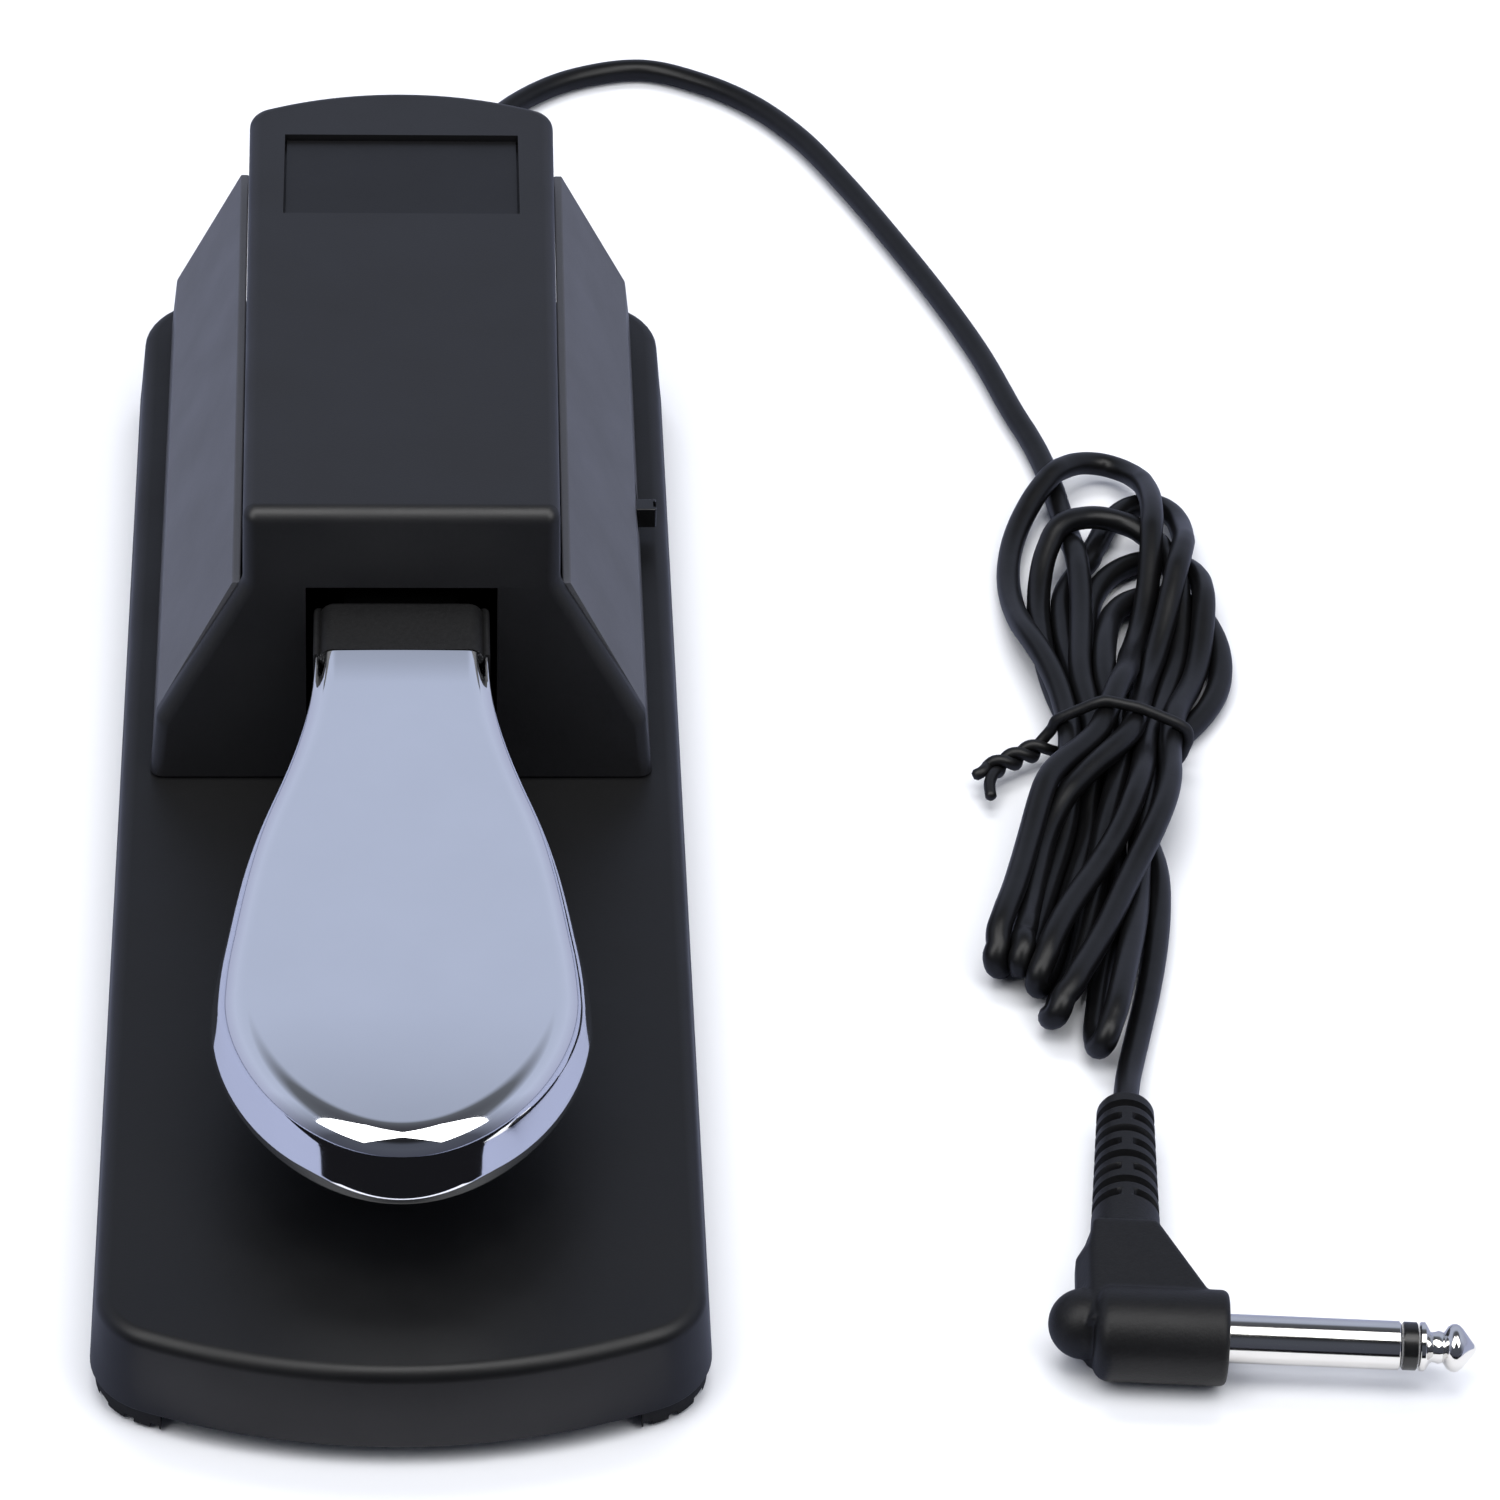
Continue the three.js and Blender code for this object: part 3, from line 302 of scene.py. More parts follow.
def rounded(points, radii, steps=7):
    """A closed outline with its corners rounded, one radius for each corner."""
    p = np.asarray(points, float)
    outline = []
    for i, radius in enumerate(radii):
        here, before, after = p[i], p[i - 1], p[(i + 1) % len(p)]
        if not radius:
            outline.append(here)
            continue
        u = (before - here) / np.linalg.norm(before - here)
        v = (after - here) / np.linalg.norm(after - here)
        half = math.acos(np.clip(u @ v, -1, 1)) / 2
        centre = here + (u + v) / np.linalg.norm(u + v) * radius / math.sin(half)
        first = here + u * radius / math.tan(half) - centre
        last = here + v * radius / math.tan(half) - centre
        start = math.atan2(first[1], first[0])
        sweep = (math.atan2(last[1], last[0]) - start + math.pi) % (2 * math.pi) - math.pi
        for t in np.linspace(0, 1, steps):
            turn = start + sweep * t
            outline.append(centre + radius * np.array([math.cos(turn), math.sin(turn)]))
    return np.array(outline)


def inset(outline, depth):
    """A closed anticlockwise outline moved inward by depth."""
    def normals(a, b):
        step = b - a
        step /= np.linalg.norm(step, axis=1)[:, None]
        return np.stack([-step[:, 1], step[:, 0]], 1)
    first = normals(np.roll(outline, 1, 0), outline)
    second = normals(outline, np.roll(outline, -1, 0))
    return outline + (first + second) / (1 + (first * second).sum(1))[:, None] * depth


def arc(centre, radius, start, end, steps):
    """Points of an arc in plan, from one angle to another."""
    turn = np.linspace(start, end, steps)
    return np.stack([centre[0] + radius * np.cos(turn), centre[1] + radius * np.sin(turn)], 1)


def at_height(outline, z):
    """A plan outline as points at height z."""
    return np.column_stack([outline, np.full(len(outline), z)])


def fillet(radius, steps=8):
    """(inset, drop) pairs of a rounded edge, from the wall up to the top."""
    turns = np.linspace(0, np.pi / 2, steps)
    return [(radius * (1 - math.cos(t)), radius * (1 - math.sin(t))) for t in turns]


def sweep(name, path, radius, sides=12, closed=False, end_round=0.0):
    """A round tube along a path of points, without twist; end_round narrows its two ends."""
    path = np.asarray(path, float)
    if closed:
        tangent = np.roll(path, -1, 0) - np.roll(path, 1, 0)
    else:
        tangent = np.gradient(path, axis=0)
    tangent /= np.linalg.norm(tangent, axis=1)[:, None]
    side = frame_about(tangent[0])[1]
    turn = np.linspace(0, 2 * np.pi, sides, endpoint=False)
    rings = []
    for k, (point, ahead) in enumerate(zip(path, tangent)):
        side = side - ahead * (side @ ahead)
        side /= np.linalg.norm(side)
        other = np.cross(ahead, side)
        size = radius
        if end_round and not closed:
            size *= 1 - end_round * (k in (0, len(path) - 1))
        rings.append(point + size * (np.outer(np.cos(turn), side) + np.outer(np.sin(turn), other)))
    return build(name, *loft(rings, caps=not closed, stack_closed=closed))


def smooth_line(points, step):
    """A centripetal Catmull-Rom line through points, resampled at an even step."""
    p = np.asarray(points, float)
    p = np.vstack([2 * p[0] - p[1], p, 2 * p[-1] - p[-2]])
    t = np.concatenate([[0], np.cumsum(np.linalg.norm(np.diff(p, axis=0), axis=1) ** 0.5)])
    fine = []
    for i in range(1, len(p) - 2):
        u = np.linspace(t[i], t[i + 1], 24, endpoint=False)[:, None]

        def between(first, a, last, b):
            return (t[last] - u) / (t[last] - t[first]) * a + (u - t[first]) / (t[last] - t[first]) * b

        low = between(i - 1, p[i - 1], i, p[i])
        mid = between(i, p[i], i + 1, p[i + 1])
        high = between(i + 1, p[i + 1], i + 2, p[i + 2])
        fine.append(between(i, between(i - 1, low, i + 1, mid), i + 1, between(i, mid, i + 2, high)))
    fine = np.vstack(fine + [p[-2:-1]])
    along = np.concatenate([[0], np.cumsum(np.linalg.norm(np.diff(fine, axis=0), axis=1))])
    even = np.linspace(0, along[-1], int(round(along[-1] / step)) + 1)
    return np.stack([np.interp(even, along, fine[:, k]) for k in range(3)], 1)


# ---------------------------------------------------------------- cord

CORD_D = 3.5

# Centre line of the lead, from the boot over the floor to the hank, and of the tail into the plug.
LEAD = [
    (0, 134.6, 8.2), (0.2, 139, 7.8), (1, 146, 5.6), (2.4, 154, 3.2),
    (4.6, 164, 2), (8, 176, 1.8), (13, 187.5, 1.8), (19.8, 197, 1.8),
    (28.5, 203.6, 1.8), (39.6, 206.4, 1.8), (49.2, 202.4, 1.8), (57.2, 196, 1.8),
    (64.6, 186.1, 1.8), (71.6, 171.9, 1.8), (78.3, 156, 1.8), (84.9, 139, 1.8),
    (90, 123.8, 1.8), (94, 108.4, 1.8), (97.2, 97.2, 1.8), (98.9, 84.9, 1.8),
    (99.8, 76.5, 2.4), (100.3, 68.8, 4.4), (100.3, 59.4, 6.2), (99.5, 48, 6.2),
    (99, 37.5, 5.6),
]
TAIL = [
    (104.6, 4, 1.8), (105.5, -3.1, 1.8), (105.6, -10, 1.8), (105.2, -15.8, 1.8), (104.4, -21.5, 1.8),
    (102.7, -30, 1.8), (100.4, -39.7, 1.8), (98.3, -49, 2.6), (97.2, -56, 4.1), (96.9, -58.6, 4.5),
]
TIE_Y = 21.5
LOW, MID, TOP = 1.8, 4.8, 7.8      # heights of the three layers inside the tie

# Where each pass of the cord goes through the tie: x, layer, and how far it leans over 3 mm.
SLOTS = {
    "lead": (99.3, MID, 0.3),
    "up_1": (106.8, MID, 0.5), "down_1": (97.5, LOW, 0.3),
    "up_2": (100.1, TOP, 1), "down_2": (95.8, MID, 0.3),
    "up_3": (104.5, TOP, 0.9), "down_3": (101, LOW, 0.3),
    "up_4": (108.2, LOW, 1), "down_4": (103, MID, 0.3),
    "up_5": (110.2, MID, 0.6), "down_5": (104.6, LOW, 0.3),
}
# The loops above the tie, each from its right leg over the far end to its left leg.
LOOPS = [
    [(109.8, 32, 5.8), (112.3, 41.3, 6.2), (114.3, 50, 6), (114.9, 59, 6),
     (113.8, 67.5, 6.2), (110.9, 73.1, 6.8), (106.5, 75.2, 7), (102.2, 74.3, 7),
     (98.4, 70.9, 6.2), (95.5, 65.9, 4.4), (94.4, 59.5, 2.4), (95, 52, 1.8),
     (96.7, 41.7, 1.8), (97.7, 32.5, 1.8)],
    [(102.4, 31, 8.8), (104.6, 37.5, 9.2), (108.5, 50.4, 9.4), (110.3, 59, 9.4),
     (111.6, 67.8, 9.2), (112.2, 77.5, 8.2), (111.6, 85.2, 7), (109.7, 90.8, 5.8),
     (106.2, 93.8, 5.2), (101, 89.8, 5), (95.5, 83.2, 4.5), (92.3, 77, 3.8),
     (90.6, 70, 3.4), (90.1, 62.7, 3.4), (90.8, 55.3, 3.6), (92.5, 47.2, 4.2),
     (94.2, 39.5, 4.6), (95.4, 32.5, 4.8)],
    [(106, 29, 7.8), (108.5, 37.5, 7.8), (111, 46, 7.8), (113.3, 54.5, 7.6),
     (115, 62.5, 6.8), (116, 71, 5.5), (116.1, 79.5, 3.6), (114.5, 84.5, 2.2),
     (111.2, 84.5, 2), (106.8, 79.5, 1.8), (103.7, 73.7, 1.8), (100.8, 68.5, 1.8),
     (98.3, 63.5, 1.8), (97, 57, 1.8), (97.2, 48, 1.8), (98.5, 38, 1.8)],
    [(112.5, 27, 1.8), (117.2, 34, 1.8), (119.3, 39.8, 1.8), (119.8, 45.4, 1.8),
     (119, 51.5, 1.8), (117.2, 57.2, 1.8), (113.8, 60.8, 1.8), (109.5, 60.8, 1.8),
     (106, 57.5, 1.8), (103.6, 50.9, 1.8), (102.3, 43, 2), (102, 35, 3.4)],
    [(111.5, 29, 4.8), (115, 39.5, 4.6), (117.1, 46.5, 4.5), (118, 53.3, 4.4),
     (118, 61.5, 4), (116.7, 67, 3), (114, 70, 2.2), (110.2, 69.7, 1.8),
     (105.6, 66, 1.8), (102.6, 61, 1.8), (101, 55, 1.8), (100.4, 48, 1.8),
     (101.2, 36.2, 1.8)],
]
# The folds below the tie: the leg on the floor, the tip, and the leg that leaves above it.
FOLDS = [
    {"down": [(97.5, 8, 3), (93.7, -8, 1.8)], "tip": (86.4, -30.2),
     "up": [(91.9, -19.5, 7.4), (95.5, -12.5, 7.8), (98.7, -6, 8), (102.2, 1.2, 8.2),
            (104.6, 7.5, 8), (106, 14.5, 6.6)]},
    {"down": [(93.5, 8, 3), (87.4, -8, 1.8)], "tip": (83.5, -27),
     "up": [(84.6, -17.5, 7), (86.1, -11, 7.2), (88.1, -3.5, 7.6), (90.7, 4.6, 7.8),
            (94.5, 12.5, 8)]},
    {"down": [(94.8, 9, 4.8), (90.7, -6, 1.8)], "tip": (85, -27.5),
     "up": [(87, -16, 4.8), (88.8, -8, 4.8), (90.8, 1, 4.4), (94, 8.5, 4.6),
            (98.5, 13, 6.6)]},
    {"down": [(100, -5, 1.8), (97.5, -20, 1.8)], "tip": (95.1, -44),
     "up": [(98.3, -34.5, 6.6), (100.3, -25.5, 5.8), (102.1, -16.2, 4.6), (103.6, -6, 3.4)]},
    {"down": [(98, -5, 4.5), (95, -20, 3)], "tip": (89, -38),
     "up": [(94.1, -29, 6.6), (97.2, -22.5, 6.8), (100, -15, 7), (103.2, -6.8, 7),
            (106.4, 1.8, 6.5), (109, 12, 5.6)]},
]
FOLD_RADIUS, FOLD_TILT = 2.7, 1.2


def slot_points(name, up):
    """Two points that take a pass straight through the tie."""
    x, z, lean = SLOTS[name]
    ends = [(x + lean, TIE_Y + 3, z), (x - lean, TIE_Y - 3, z)]
    return ends[::-1] if up else ends


def fold_points(fold):
    """The tip of a fold: a tilted half turn from the leg on the floor round to the leg above it."""
    tip, down, up = np.array(fold["tip"]), np.array(fold["down"][-1][:2]), np.array(fold["up"][0][:2])
    along = tip - (down + up) / 2
    along /= np.linalg.norm(along)
    across = np.array([-along[1], along[0]])
    across *= np.sign(across @ (up - down))
    out = np.array([*along, 0])
    over = np.array([*across * np.cos(FOLD_TILT), np.sin(FOLD_TILT)])
    centre = np.array([*tip, LOW + FOLD_RADIUS * np.sin(FOLD_TILT)]) - out * FOLD_RADIUS
    turn = np.linspace(0, np.pi, 7)
    return [tuple(centre + FOLD_RADIUS * (out * np.sin(t) - over * np.cos(t))) for t in turn]


def cord_points():
    """The cord's planned course from the boot to the plug."""
    points = list(LEAD) + slot_points("lead", up=False)
    for k, (fold, loop) in enumerate(zip(FOLDS, LOOPS), 1):
        points += [*fold["down"], *fold_points(fold), *fold["up"], *slot_points(f"up_{k}", up=True)]
        points += [*loop, *slot_points(f"down_{k}", up=False)]
    return points + list(TAIL)


# Settling: the spacing of the cord's points and the number of rounds, the last of them gentler.
CORD_STEP, SETTLE_ROUNDS, GENTLE_AFTER, GENTLE = 1.5, 260, 0.8, 0.3
# How strongly each part keeps to its planned course: in plan, and in height.
TIE_HOLD, TIP_HOLD, LOOP_HOLD = 0.35, 0.2, 0.12
TIE_LEVEL_HOLD, TIP_LEVEL_HOLD = 0.06, 0.15
# The lead stays put down to LEAD_FREE_Y, and the last TAIL_FIXED of the tail does too.
LEAD_FREE_Y, TAIL_FIXED, RAMP = 104, 30, 8
TIED_REACH, TIPS_Y = 3.5, -14
# Fall in each round, resistance to bending over 1 and 3 points, and the gap between passes.
DROP = 0.06
BENDING = ((1, 0.25), (3, 0.10))
GAP, FLOOR_GAP, PUSH = CORD_D * 1.01, 0.02, 1.3


def settle(line):
    """Lays the cord down: it keeps its length, drops, and its turns rest beside and on each other."""
    p, home, n = line.copy(), line.copy(), len(line)
    rest = np.linalg.norm(np.diff(line, axis=0), axis=1).mean()
    index, y = np.arange(n), line[:, 1]
    lead_end = int(np.argmax((index > 100) & (y < LEAD_FREE_Y)))
    tail_start = n - int(TAIL_FIXED / rest)
    free = np.clip(np.minimum(index - lead_end, tail_start - index) / RAMP, 0, 1)
    tied = np.abs(y - TIE_Y) < TIED_REACH
    tips = (y < TIPS_Y) & (index < tail_start - 30)
    flat_hold = np.where(tied, TIE_HOLD, np.where(tips, TIP_HOLD, LOOP_HOLD))
    level_hold = np.where(tied, TIE_LEVEL_HOLD, np.where(tips, TIP_LEVEL_HOLD, 0.0))
    hold = np.column_stack([flat_hold, flat_hold, level_hold]) * free[:, None]
    apart = index[None, :] - index[:, None] > 4
    for k in range(SETTLE_ROUNDS):
        if k % 8 == 0:
            square = ((p[:, None, :] - p[None, :, :]) ** 2).sum(-1)
            pairs = np.argwhere(apart & (square < (2.2 * GAP) ** 2))
        late = k > SETTLE_ROUNDS * GENTLE_AFTER
        if not late:
            p[:, 2] -= DROP * free
        p += (home - p) * hold * (GENTLE if late else 1)
        for reach, stiff in BENDING:
            middle = (p[:-2 * reach] + p[2 * reach:]) / 2
            push = (middle - p[reach:-reach]) * stiff
            p[reach:-reach] += push * free[reach:-reach, None]
            p[:-2 * reach] -= push / 2 * free[:-2 * reach, None]
            p[2 * reach:] -= push / 2 * free[2 * reach:, None]
        for _ in range(3):
            push_apart(p, pairs, free)
            p[:, 2] = np.maximum(p[:, 2], CORD_D / 2 + FLOOR_GAP)
            keep_length(p, rest, free)
    return p


def push_apart(p, pairs, free):
    """Moves passes of the cord that are closer than GAP away from each other."""
    i, j = pairs.T
    away = p[j] - p[i]
    distance = np.linalg.norm(away, axis=1)
    near = distance < GAP
    i, j, away, distance = i[near], j[near], away[near], distance[near]
    push = away / np.maximum(distance, 1e-6)[:, None] * ((GAP - distance) * 0.5)[:, None]
    total, count = np.zeros_like(p), np.zeros(len(p))
    np.add.at(total, i, -push)
    np.add.at(total, j, push)
    np.add.at(count, i, 1)
    np.add.at(count, j, 1)
    p += total / np.maximum(count, 1)[:, None] * PUSH * free[:, None]


def keep_length(p, rest, free):
    """Brings each short stretch of the cord back to its own length."""
    for first in (0, 1):
        a = np.arange(first, len(p) - 1, 2)
        step = p[a + 1] - p[a]
        move = step * (1 - rest / np.linalg.norm(step, axis=1)[:, None]) * 0.5
        p[a] += move * free[a, None]
        p[a + 1] -= move * free[a + 1, None]


CORD_PATH = smooth_line(settle(smooth_line(cord_points(), CORD_STEP)), 0.6)


def lay_cord():
    """One tube along the settled course."""
    data = bpy.data.curves.new("cord", "CURVE")
    data.dimensions, data.bevel_depth, data.bevel_resolution = "3D", CORD_D / 2 * MM, 5
    spline = data.splines.new("POLY")
    spline.points.add(len(CORD_PATH) - 1)
    spline.points.foreach_set("co", np.column_stack([CORD_PATH * MM, np.ones(len(CORD_PATH))]).ravel())
    spline.use_smooth = True
    data.materials.append(MATERIALS["cable_jacket"])
    cord = bpy.data.objects.new("cord", data)
    SCENE.collection.objects.link(cord)
    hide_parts("cord_lead", "cord_hank", "cord_tail")
    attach(cord, "root")
    return cord


TIE_RADIUS, TIE_CENTRE_Y, TIE_SLANT, HANK_X = 0.85, 23.6, 0.12, 102
# The twist at the hoop's left: where it forks, its radius and its half turns, and the two spread ends.
FORK, TWIST_RADIUS, TWIST_TURNS = (84.4, 18.2, 2.9), 0.88, 3.2
FORK_ENDS = ([(83.0, 17.4, 3.0), (81.6, 16.9, 2.5)], [(83.9, 15.2, 2.8), (83.9, 12.0, 2.3)])


def tie_hoop():
    """The line of the tie's wire round the passes of the cord, from its left end round and back."""
    x, y, z = CORD_PATH.T
    level = TIE_CENTRE_Y - TIE_SLANT * (x - HANK_X)
    crossing = np.where(np.diff(np.sign(y - level)) != 0)[0]
    crossing = crossing[(z[crossing] < 12) & (np.abs(x[crossing] - HANK_X) < 15)]
    turn = np.linspace(0, 2 * np.pi, 40, endpoint=False)
    reach = CORD_D / 2 + TIE_RADIUS * 0.9
    ring = np.stack([np.cos(turn), np.sin(turn)], 1) * reach
    cloud = np.vstack([ring + (x[k], z[k]) for k in crossing])
    cloud[:, 1] = np.maximum(cloud[:, 1], TIE_RADIUS)
    order = np.lexsort((cloud[:, 1], cloud[:, 0]))
    hull = []
    for path in (cloud[order], cloud[order[::-1]]):
        start = len(hull)
        for point in path:
            while len(hull) - start > 1 and np.cross(hull[-1] - hull[-2], point - hull[-2]) <= 0:
                hull.pop()
            hull.append(point)
        hull.pop()
    x, z = np.array(hull).T
    return np.column_stack([x, TIE_CENTRE_Y - TIE_SLANT * (x - HANK_X), z])


def cable_tie():
    """One wire: a hoop round the hank, twisted on itself at the left, with its ends spread."""
    hoop = tie_hoop()
    start = int(np.argmin(hoop[:, 0] + abs(hoop[:, 2] - 4) * 0.5))
    hoop = np.roll(hoop, -start, 0)
    hoop = smooth_line(hoop[2:-2], 1.6)
    root = hoop[0] * 0.5 + hoop[-1] * 0.5 + (-1.6, -0.8, 0)
    axis = np.array(FORK) - root
    length = np.linalg.norm(axis)
    along, first, second = frame_about(axis)
    strands = []
    for half in (0, np.pi):
        t = np.linspace(0.1, 1, 14)
        angle = half + t * TWIST_TURNS * np.pi
        strands.append([root + along * length * s
                        + TWIST_RADIUS * (first * math.cos(a) + second * math.sin(a))
                        for s, a in zip(t, angle)])
    near_first = np.linalg.norm(strands[0][0] - hoop[0]) < np.linalg.norm(strands[1][0] - hoop[0])
    one, two = strands if near_first else strands[::-1]
    line = [*FORK_ENDS[0][::-1], *one[::-1], *hoop, *two, *FORK_ENDS[1]]
    tie = sweep("tie_wire", smooth_line(line, 0.45), TIE_RADIUS, 12, end_round=0.45)
    return piece(tie, "tie_plastic", replaces=["cable_tie"], sharp=60)


# ---------------------------------------------------------------- base

BASE_LOW, BASE_HIGH = corners("base_shell")
DECK_Z = corners("upper_housing")[0][2] - 0.3
HALF_WIDTH, HALF_LENGTH, SKIRT_Z = BASE_HIGH[0], BASE_HIGH[1], BASE_LOW[2]
BOW_RADIUS, FRONT_CORNER, REAR_CORNER = 84, 11, 12
BASE_DRAFT, BASE_FILLET, BASE_WALL, DECK_THICKNESS = 0.95, 2.0, 3.0, 2.4
PAD_RADII = {"down_stop_pad": 5, "rest_stop_pad": 4.5}
BOOT_HOLE, LEAD_HOLE, PLATE_BOSS, SPRING_SEAT, SPRING_PIN = 3.2, 2.3, 3.2, 19, 3.6
FOOT_INNER, FOOT_OUTER, FOOT_PEG = 30.5, 40, (29.5, 104)
FOOT_PITCH, FOOT_GROOVE, FOOT_GROOVE_TOP = 3.3, 1.1, 0.9


def base_outline(depth):
    """The base's plan, moved inward by depth: a bowed front, straight sides and a square rear."""
    bow_y = BOW_RADIUS - HALF_LENGTH
    front_x = HALF_WIDTH - FRONT_CORNER
    front_y = bow_y - math.sqrt((BOW_RADIUS - FRONT_CORNER) ** 2 - front_x ** 2)
    rear = np.array([HALF_WIDTH - REAR_CORNER, HALF_LENGTH - REAR_CORNER])
    swing = math.atan2(front_y - bow_y, front_x)
    quarter = np.pi / 2
    return np.vstack([
        arc(rear, REAR_CORNER - depth, 0, quarter, 12),
        arc(rear * (-1, 1), REAR_CORNER - depth, quarter, 2 * quarter, 12),
        arc((-front_x, front_y), FRONT_CORNER - depth, np.pi, np.pi - swing, 12)[:-1],
        arc((0, bow_y), BOW_RADIUS - depth, np.pi - swing, 2 * np.pi + swing, 33),
        arc((front_x, front_y), FRONT_CORNER - depth, 2 * np.pi + swing, 2 * np.pi, 12)[1:],
    ])


def base_shell():
    """The hollow moulding, with posts for the pads, the spring, the switch and the plate's screws."""
    top = DECK_Z - BASE_FILLET
    ceiling = DECK_Z - DECK_THICKNESS
    lower_edge = ((0.4, 0), (0.12, 0.12), (0, 0.4))
    rings = [at_height(base_outline(depth), SKIRT_Z + rise) for depth, rise in lower_edge]
    for z in np.linspace(SKIRT_Z + 3, top - 2, 3):
        rings.append(at_height(base_outline(BASE_DRAFT * (z - SKIRT_Z) / (top - SKIRT_Z)), z))
    for depth, drop in fillet(BASE_FILLET, 9):
        rings.append(at_height(base_outline(BASE_DRAFT + depth), DECK_Z - drop))
    shell = build("base_moulding", *loft(rings))
    hollow = build("hollow", *loft([at_height(base_outline(BASE_WALL), z) for z in (0, ceiling)]))
    boot_z = middle_of("cord_gland")[2]
    lead_y = corners("inner_lead")[0][1] + CORD_D / 2
    boot_hole = bar("boot_hole", (0, HALF_LENGTH - 7, boot_z), (0, HALF_LENGTH + 3, boot_z), BOOT_HOLE)
    lead_hole = bar("lead_hole", (0, lead_y, ceiling - 1), (0, lead_y, DECK_Z + 2), LEAD_HOLE)
    combine(shell, "DIFFERENCE", hollow, boot_hole, lead_hole)
    posts = []
    for node, radius in PAD_RADII.items():
        y = middle_of(node)[1]
        seat = corners(node)[0][2] - 0.05
        posts.append(bar("post", (0, y, ceiling + 1), (0, y, seat), radius, edge=0.4))
    y = middle_of("return_spring")[1]
    posts.append(bar("spring_seat", (0, y, ceiling + 1), (0, y, SPRING_SEAT), SPRING_PIN, edge=0.6))
    low, high = corners("microswitch_body")
    posts.append(block("switch_wall", (high[0] + 0.3, low[1] + 1, ceiling + 1),
                       (high[0] + 3.3, high[1] - 1, 26), 0.5))
    for k in range(1, 5):
        x, y, _ = middle_of(f"plate_screw_{k}")
        posts.append(bar("screw_boss", (x, y, SKIRT_Z + 1.3), (x, y, ceiling + 1), PLATE_BOSS))
    combine(shell, "UNION", *posts)
    return piece(shell, "base_plastic", replaces=["base_shell"])


def feet():
    """A ribbed rubber foot under each corner, following the corner's outline."""
    levels = ((0.95, 0), (0.6, 0.35), (0.6, SKIRT_Z - 0.3))
    for node in ("foot_front_left", "foot_front_right", "foot_rear_left", "foot_rear_right"):
        low, high = corners(node)
        pad = build(node + "_pad", *loft([at_height(base_outline(depth), z) for depth, z in levels]))
        outward = 1 if high[0] > 0 else -1
        rearward = 1 if high[1] > 0 else -1
        inner, outer = sorted((outward * FOOT_INNER, outward * FOOT_OUTER))
        combine(pad, "INTERSECT", block("corner", (inner, low[1] - 1, -1), (outer, high[1] + 1, SKIRT_Z)))
        grooves = []
        for step in np.arange(-1.5, 2) * FOOT_PITCH + outward * 0.4:
            x = (low[0] + high[0]) / 2 + step
            grooves.append(block("groove", (x - FOOT_GROOVE / 2, low[1] - 2, -1),
                                 (x + FOOT_GROOVE / 2, high[1] + 2, FOOT_GROOVE_TOP)))
        combine(pad, "DIFFERENCE", *grooves)
        bevelled(pad, 0.22, 2)
        x, y = outward * FOOT_PEG[0], rearward * FOOT_PEG[1]
        combine(pad, "UNION", bar("peg", (x, y, 1.5), (x, y, high[2]), 1.7, edge=0.5))
        piece(pad, "foot_rubber", replaces=[node])


# ---------------------------------------------------------------- housing

HOUSING_LOW, HOUSING_HIGH = corners("upper_housing")
HOUSING_SEAT, HOUSING_TOP, HOUSING_REAR = HOUSING_LOW[2], HOUSING_HIGH[2], HOUSING_HIGH[1]
HOUSING_FRONT_HALF, HOUSING_REAR_HALF = 21.75, 22.5
HOUSING_BOW, HOUSING_CORNER, HOUSING_WALL, ROOF = 48, 4, 2.2, 3.0
RIM_FILLET, CHEEK_DEPTH = 1.9, 3.6
FASCIA_FOOT_Y, FASCIA_TOP_Y = 0.5, 10.0
OPENING_HALF, OPENING_TOP, OPENING_FRONT, OPENING_REAR = 13.2, 43.0, -5, 18
SCREW_BOSS, HOUSING_BOSS_TOP, WING_BOSS_TOP, PLATE_GAP = 3.3, 30, 24, 0.3
SLOT_GAP, SLOT_BEHIND = 0.4, 4.1      # round the polarity knob, and behind it for its travel
WING_LOW, WING_HIGH = corners("wing_right")
WING_SHEET, WING_FOLD_X, WING_FOLD_Z, WING_FRONT_EDGE, WING_REAR_EDGE = 1.5, 33.9, 23.3, 22.0, 22.65


def fascia_y(z, depth=0.0):
    """Where the raked front face stands at height z, moved back by depth."""
    return FASCIA_FOOT_Y + depth + (FASCIA_TOP_Y - FASCIA_FOOT_Y) * (z - DECK_Z) / (HOUSING_TOP - DECK_Z)


def cheek_depth(z):
    """How far the cheeks reach behind the front face at height z: less towards the top."""
    return CHEEK_DEPTH - 1.5 * np.clip((z - DECK_Z) / (WING_HIGH[2] - DECK_Z), 0, 1)


def tower_ring(z, depth, front):
    """The housing's plan at height z, moved inward by depth, with its front on the raked plane."""
    bow = HOUSING_BOW - depth
    corner = max(HOUSING_CORNER - depth, 0.8)
    half = HOUSING_REAR_HALF - depth
    bow_y = HOUSING_REAR - HOUSING_BOW
    corner_x = half - corner
    corner_y = bow_y + math.sqrt((bow - corner) ** 2 - corner_x ** 2)
    swing = math.atan2(corner_y - bow_y, corner_x)
    front_half = HOUSING_FRONT_HALF - depth
    y = fascia_y(z, front)
    outline = np.vstack([
        [(-front_half, y), (front_half, y)],
        arc((corner_x, corner_y), corner, 0, swing, 8)[:-1],
        arc((0, bow_y), bow, swing, np.pi - swing, 25),
        arc((-corner_x, corner_y), corner, np.pi - swing, np.pi, 8)[1:],
    ])
    return at_height(outline, z)


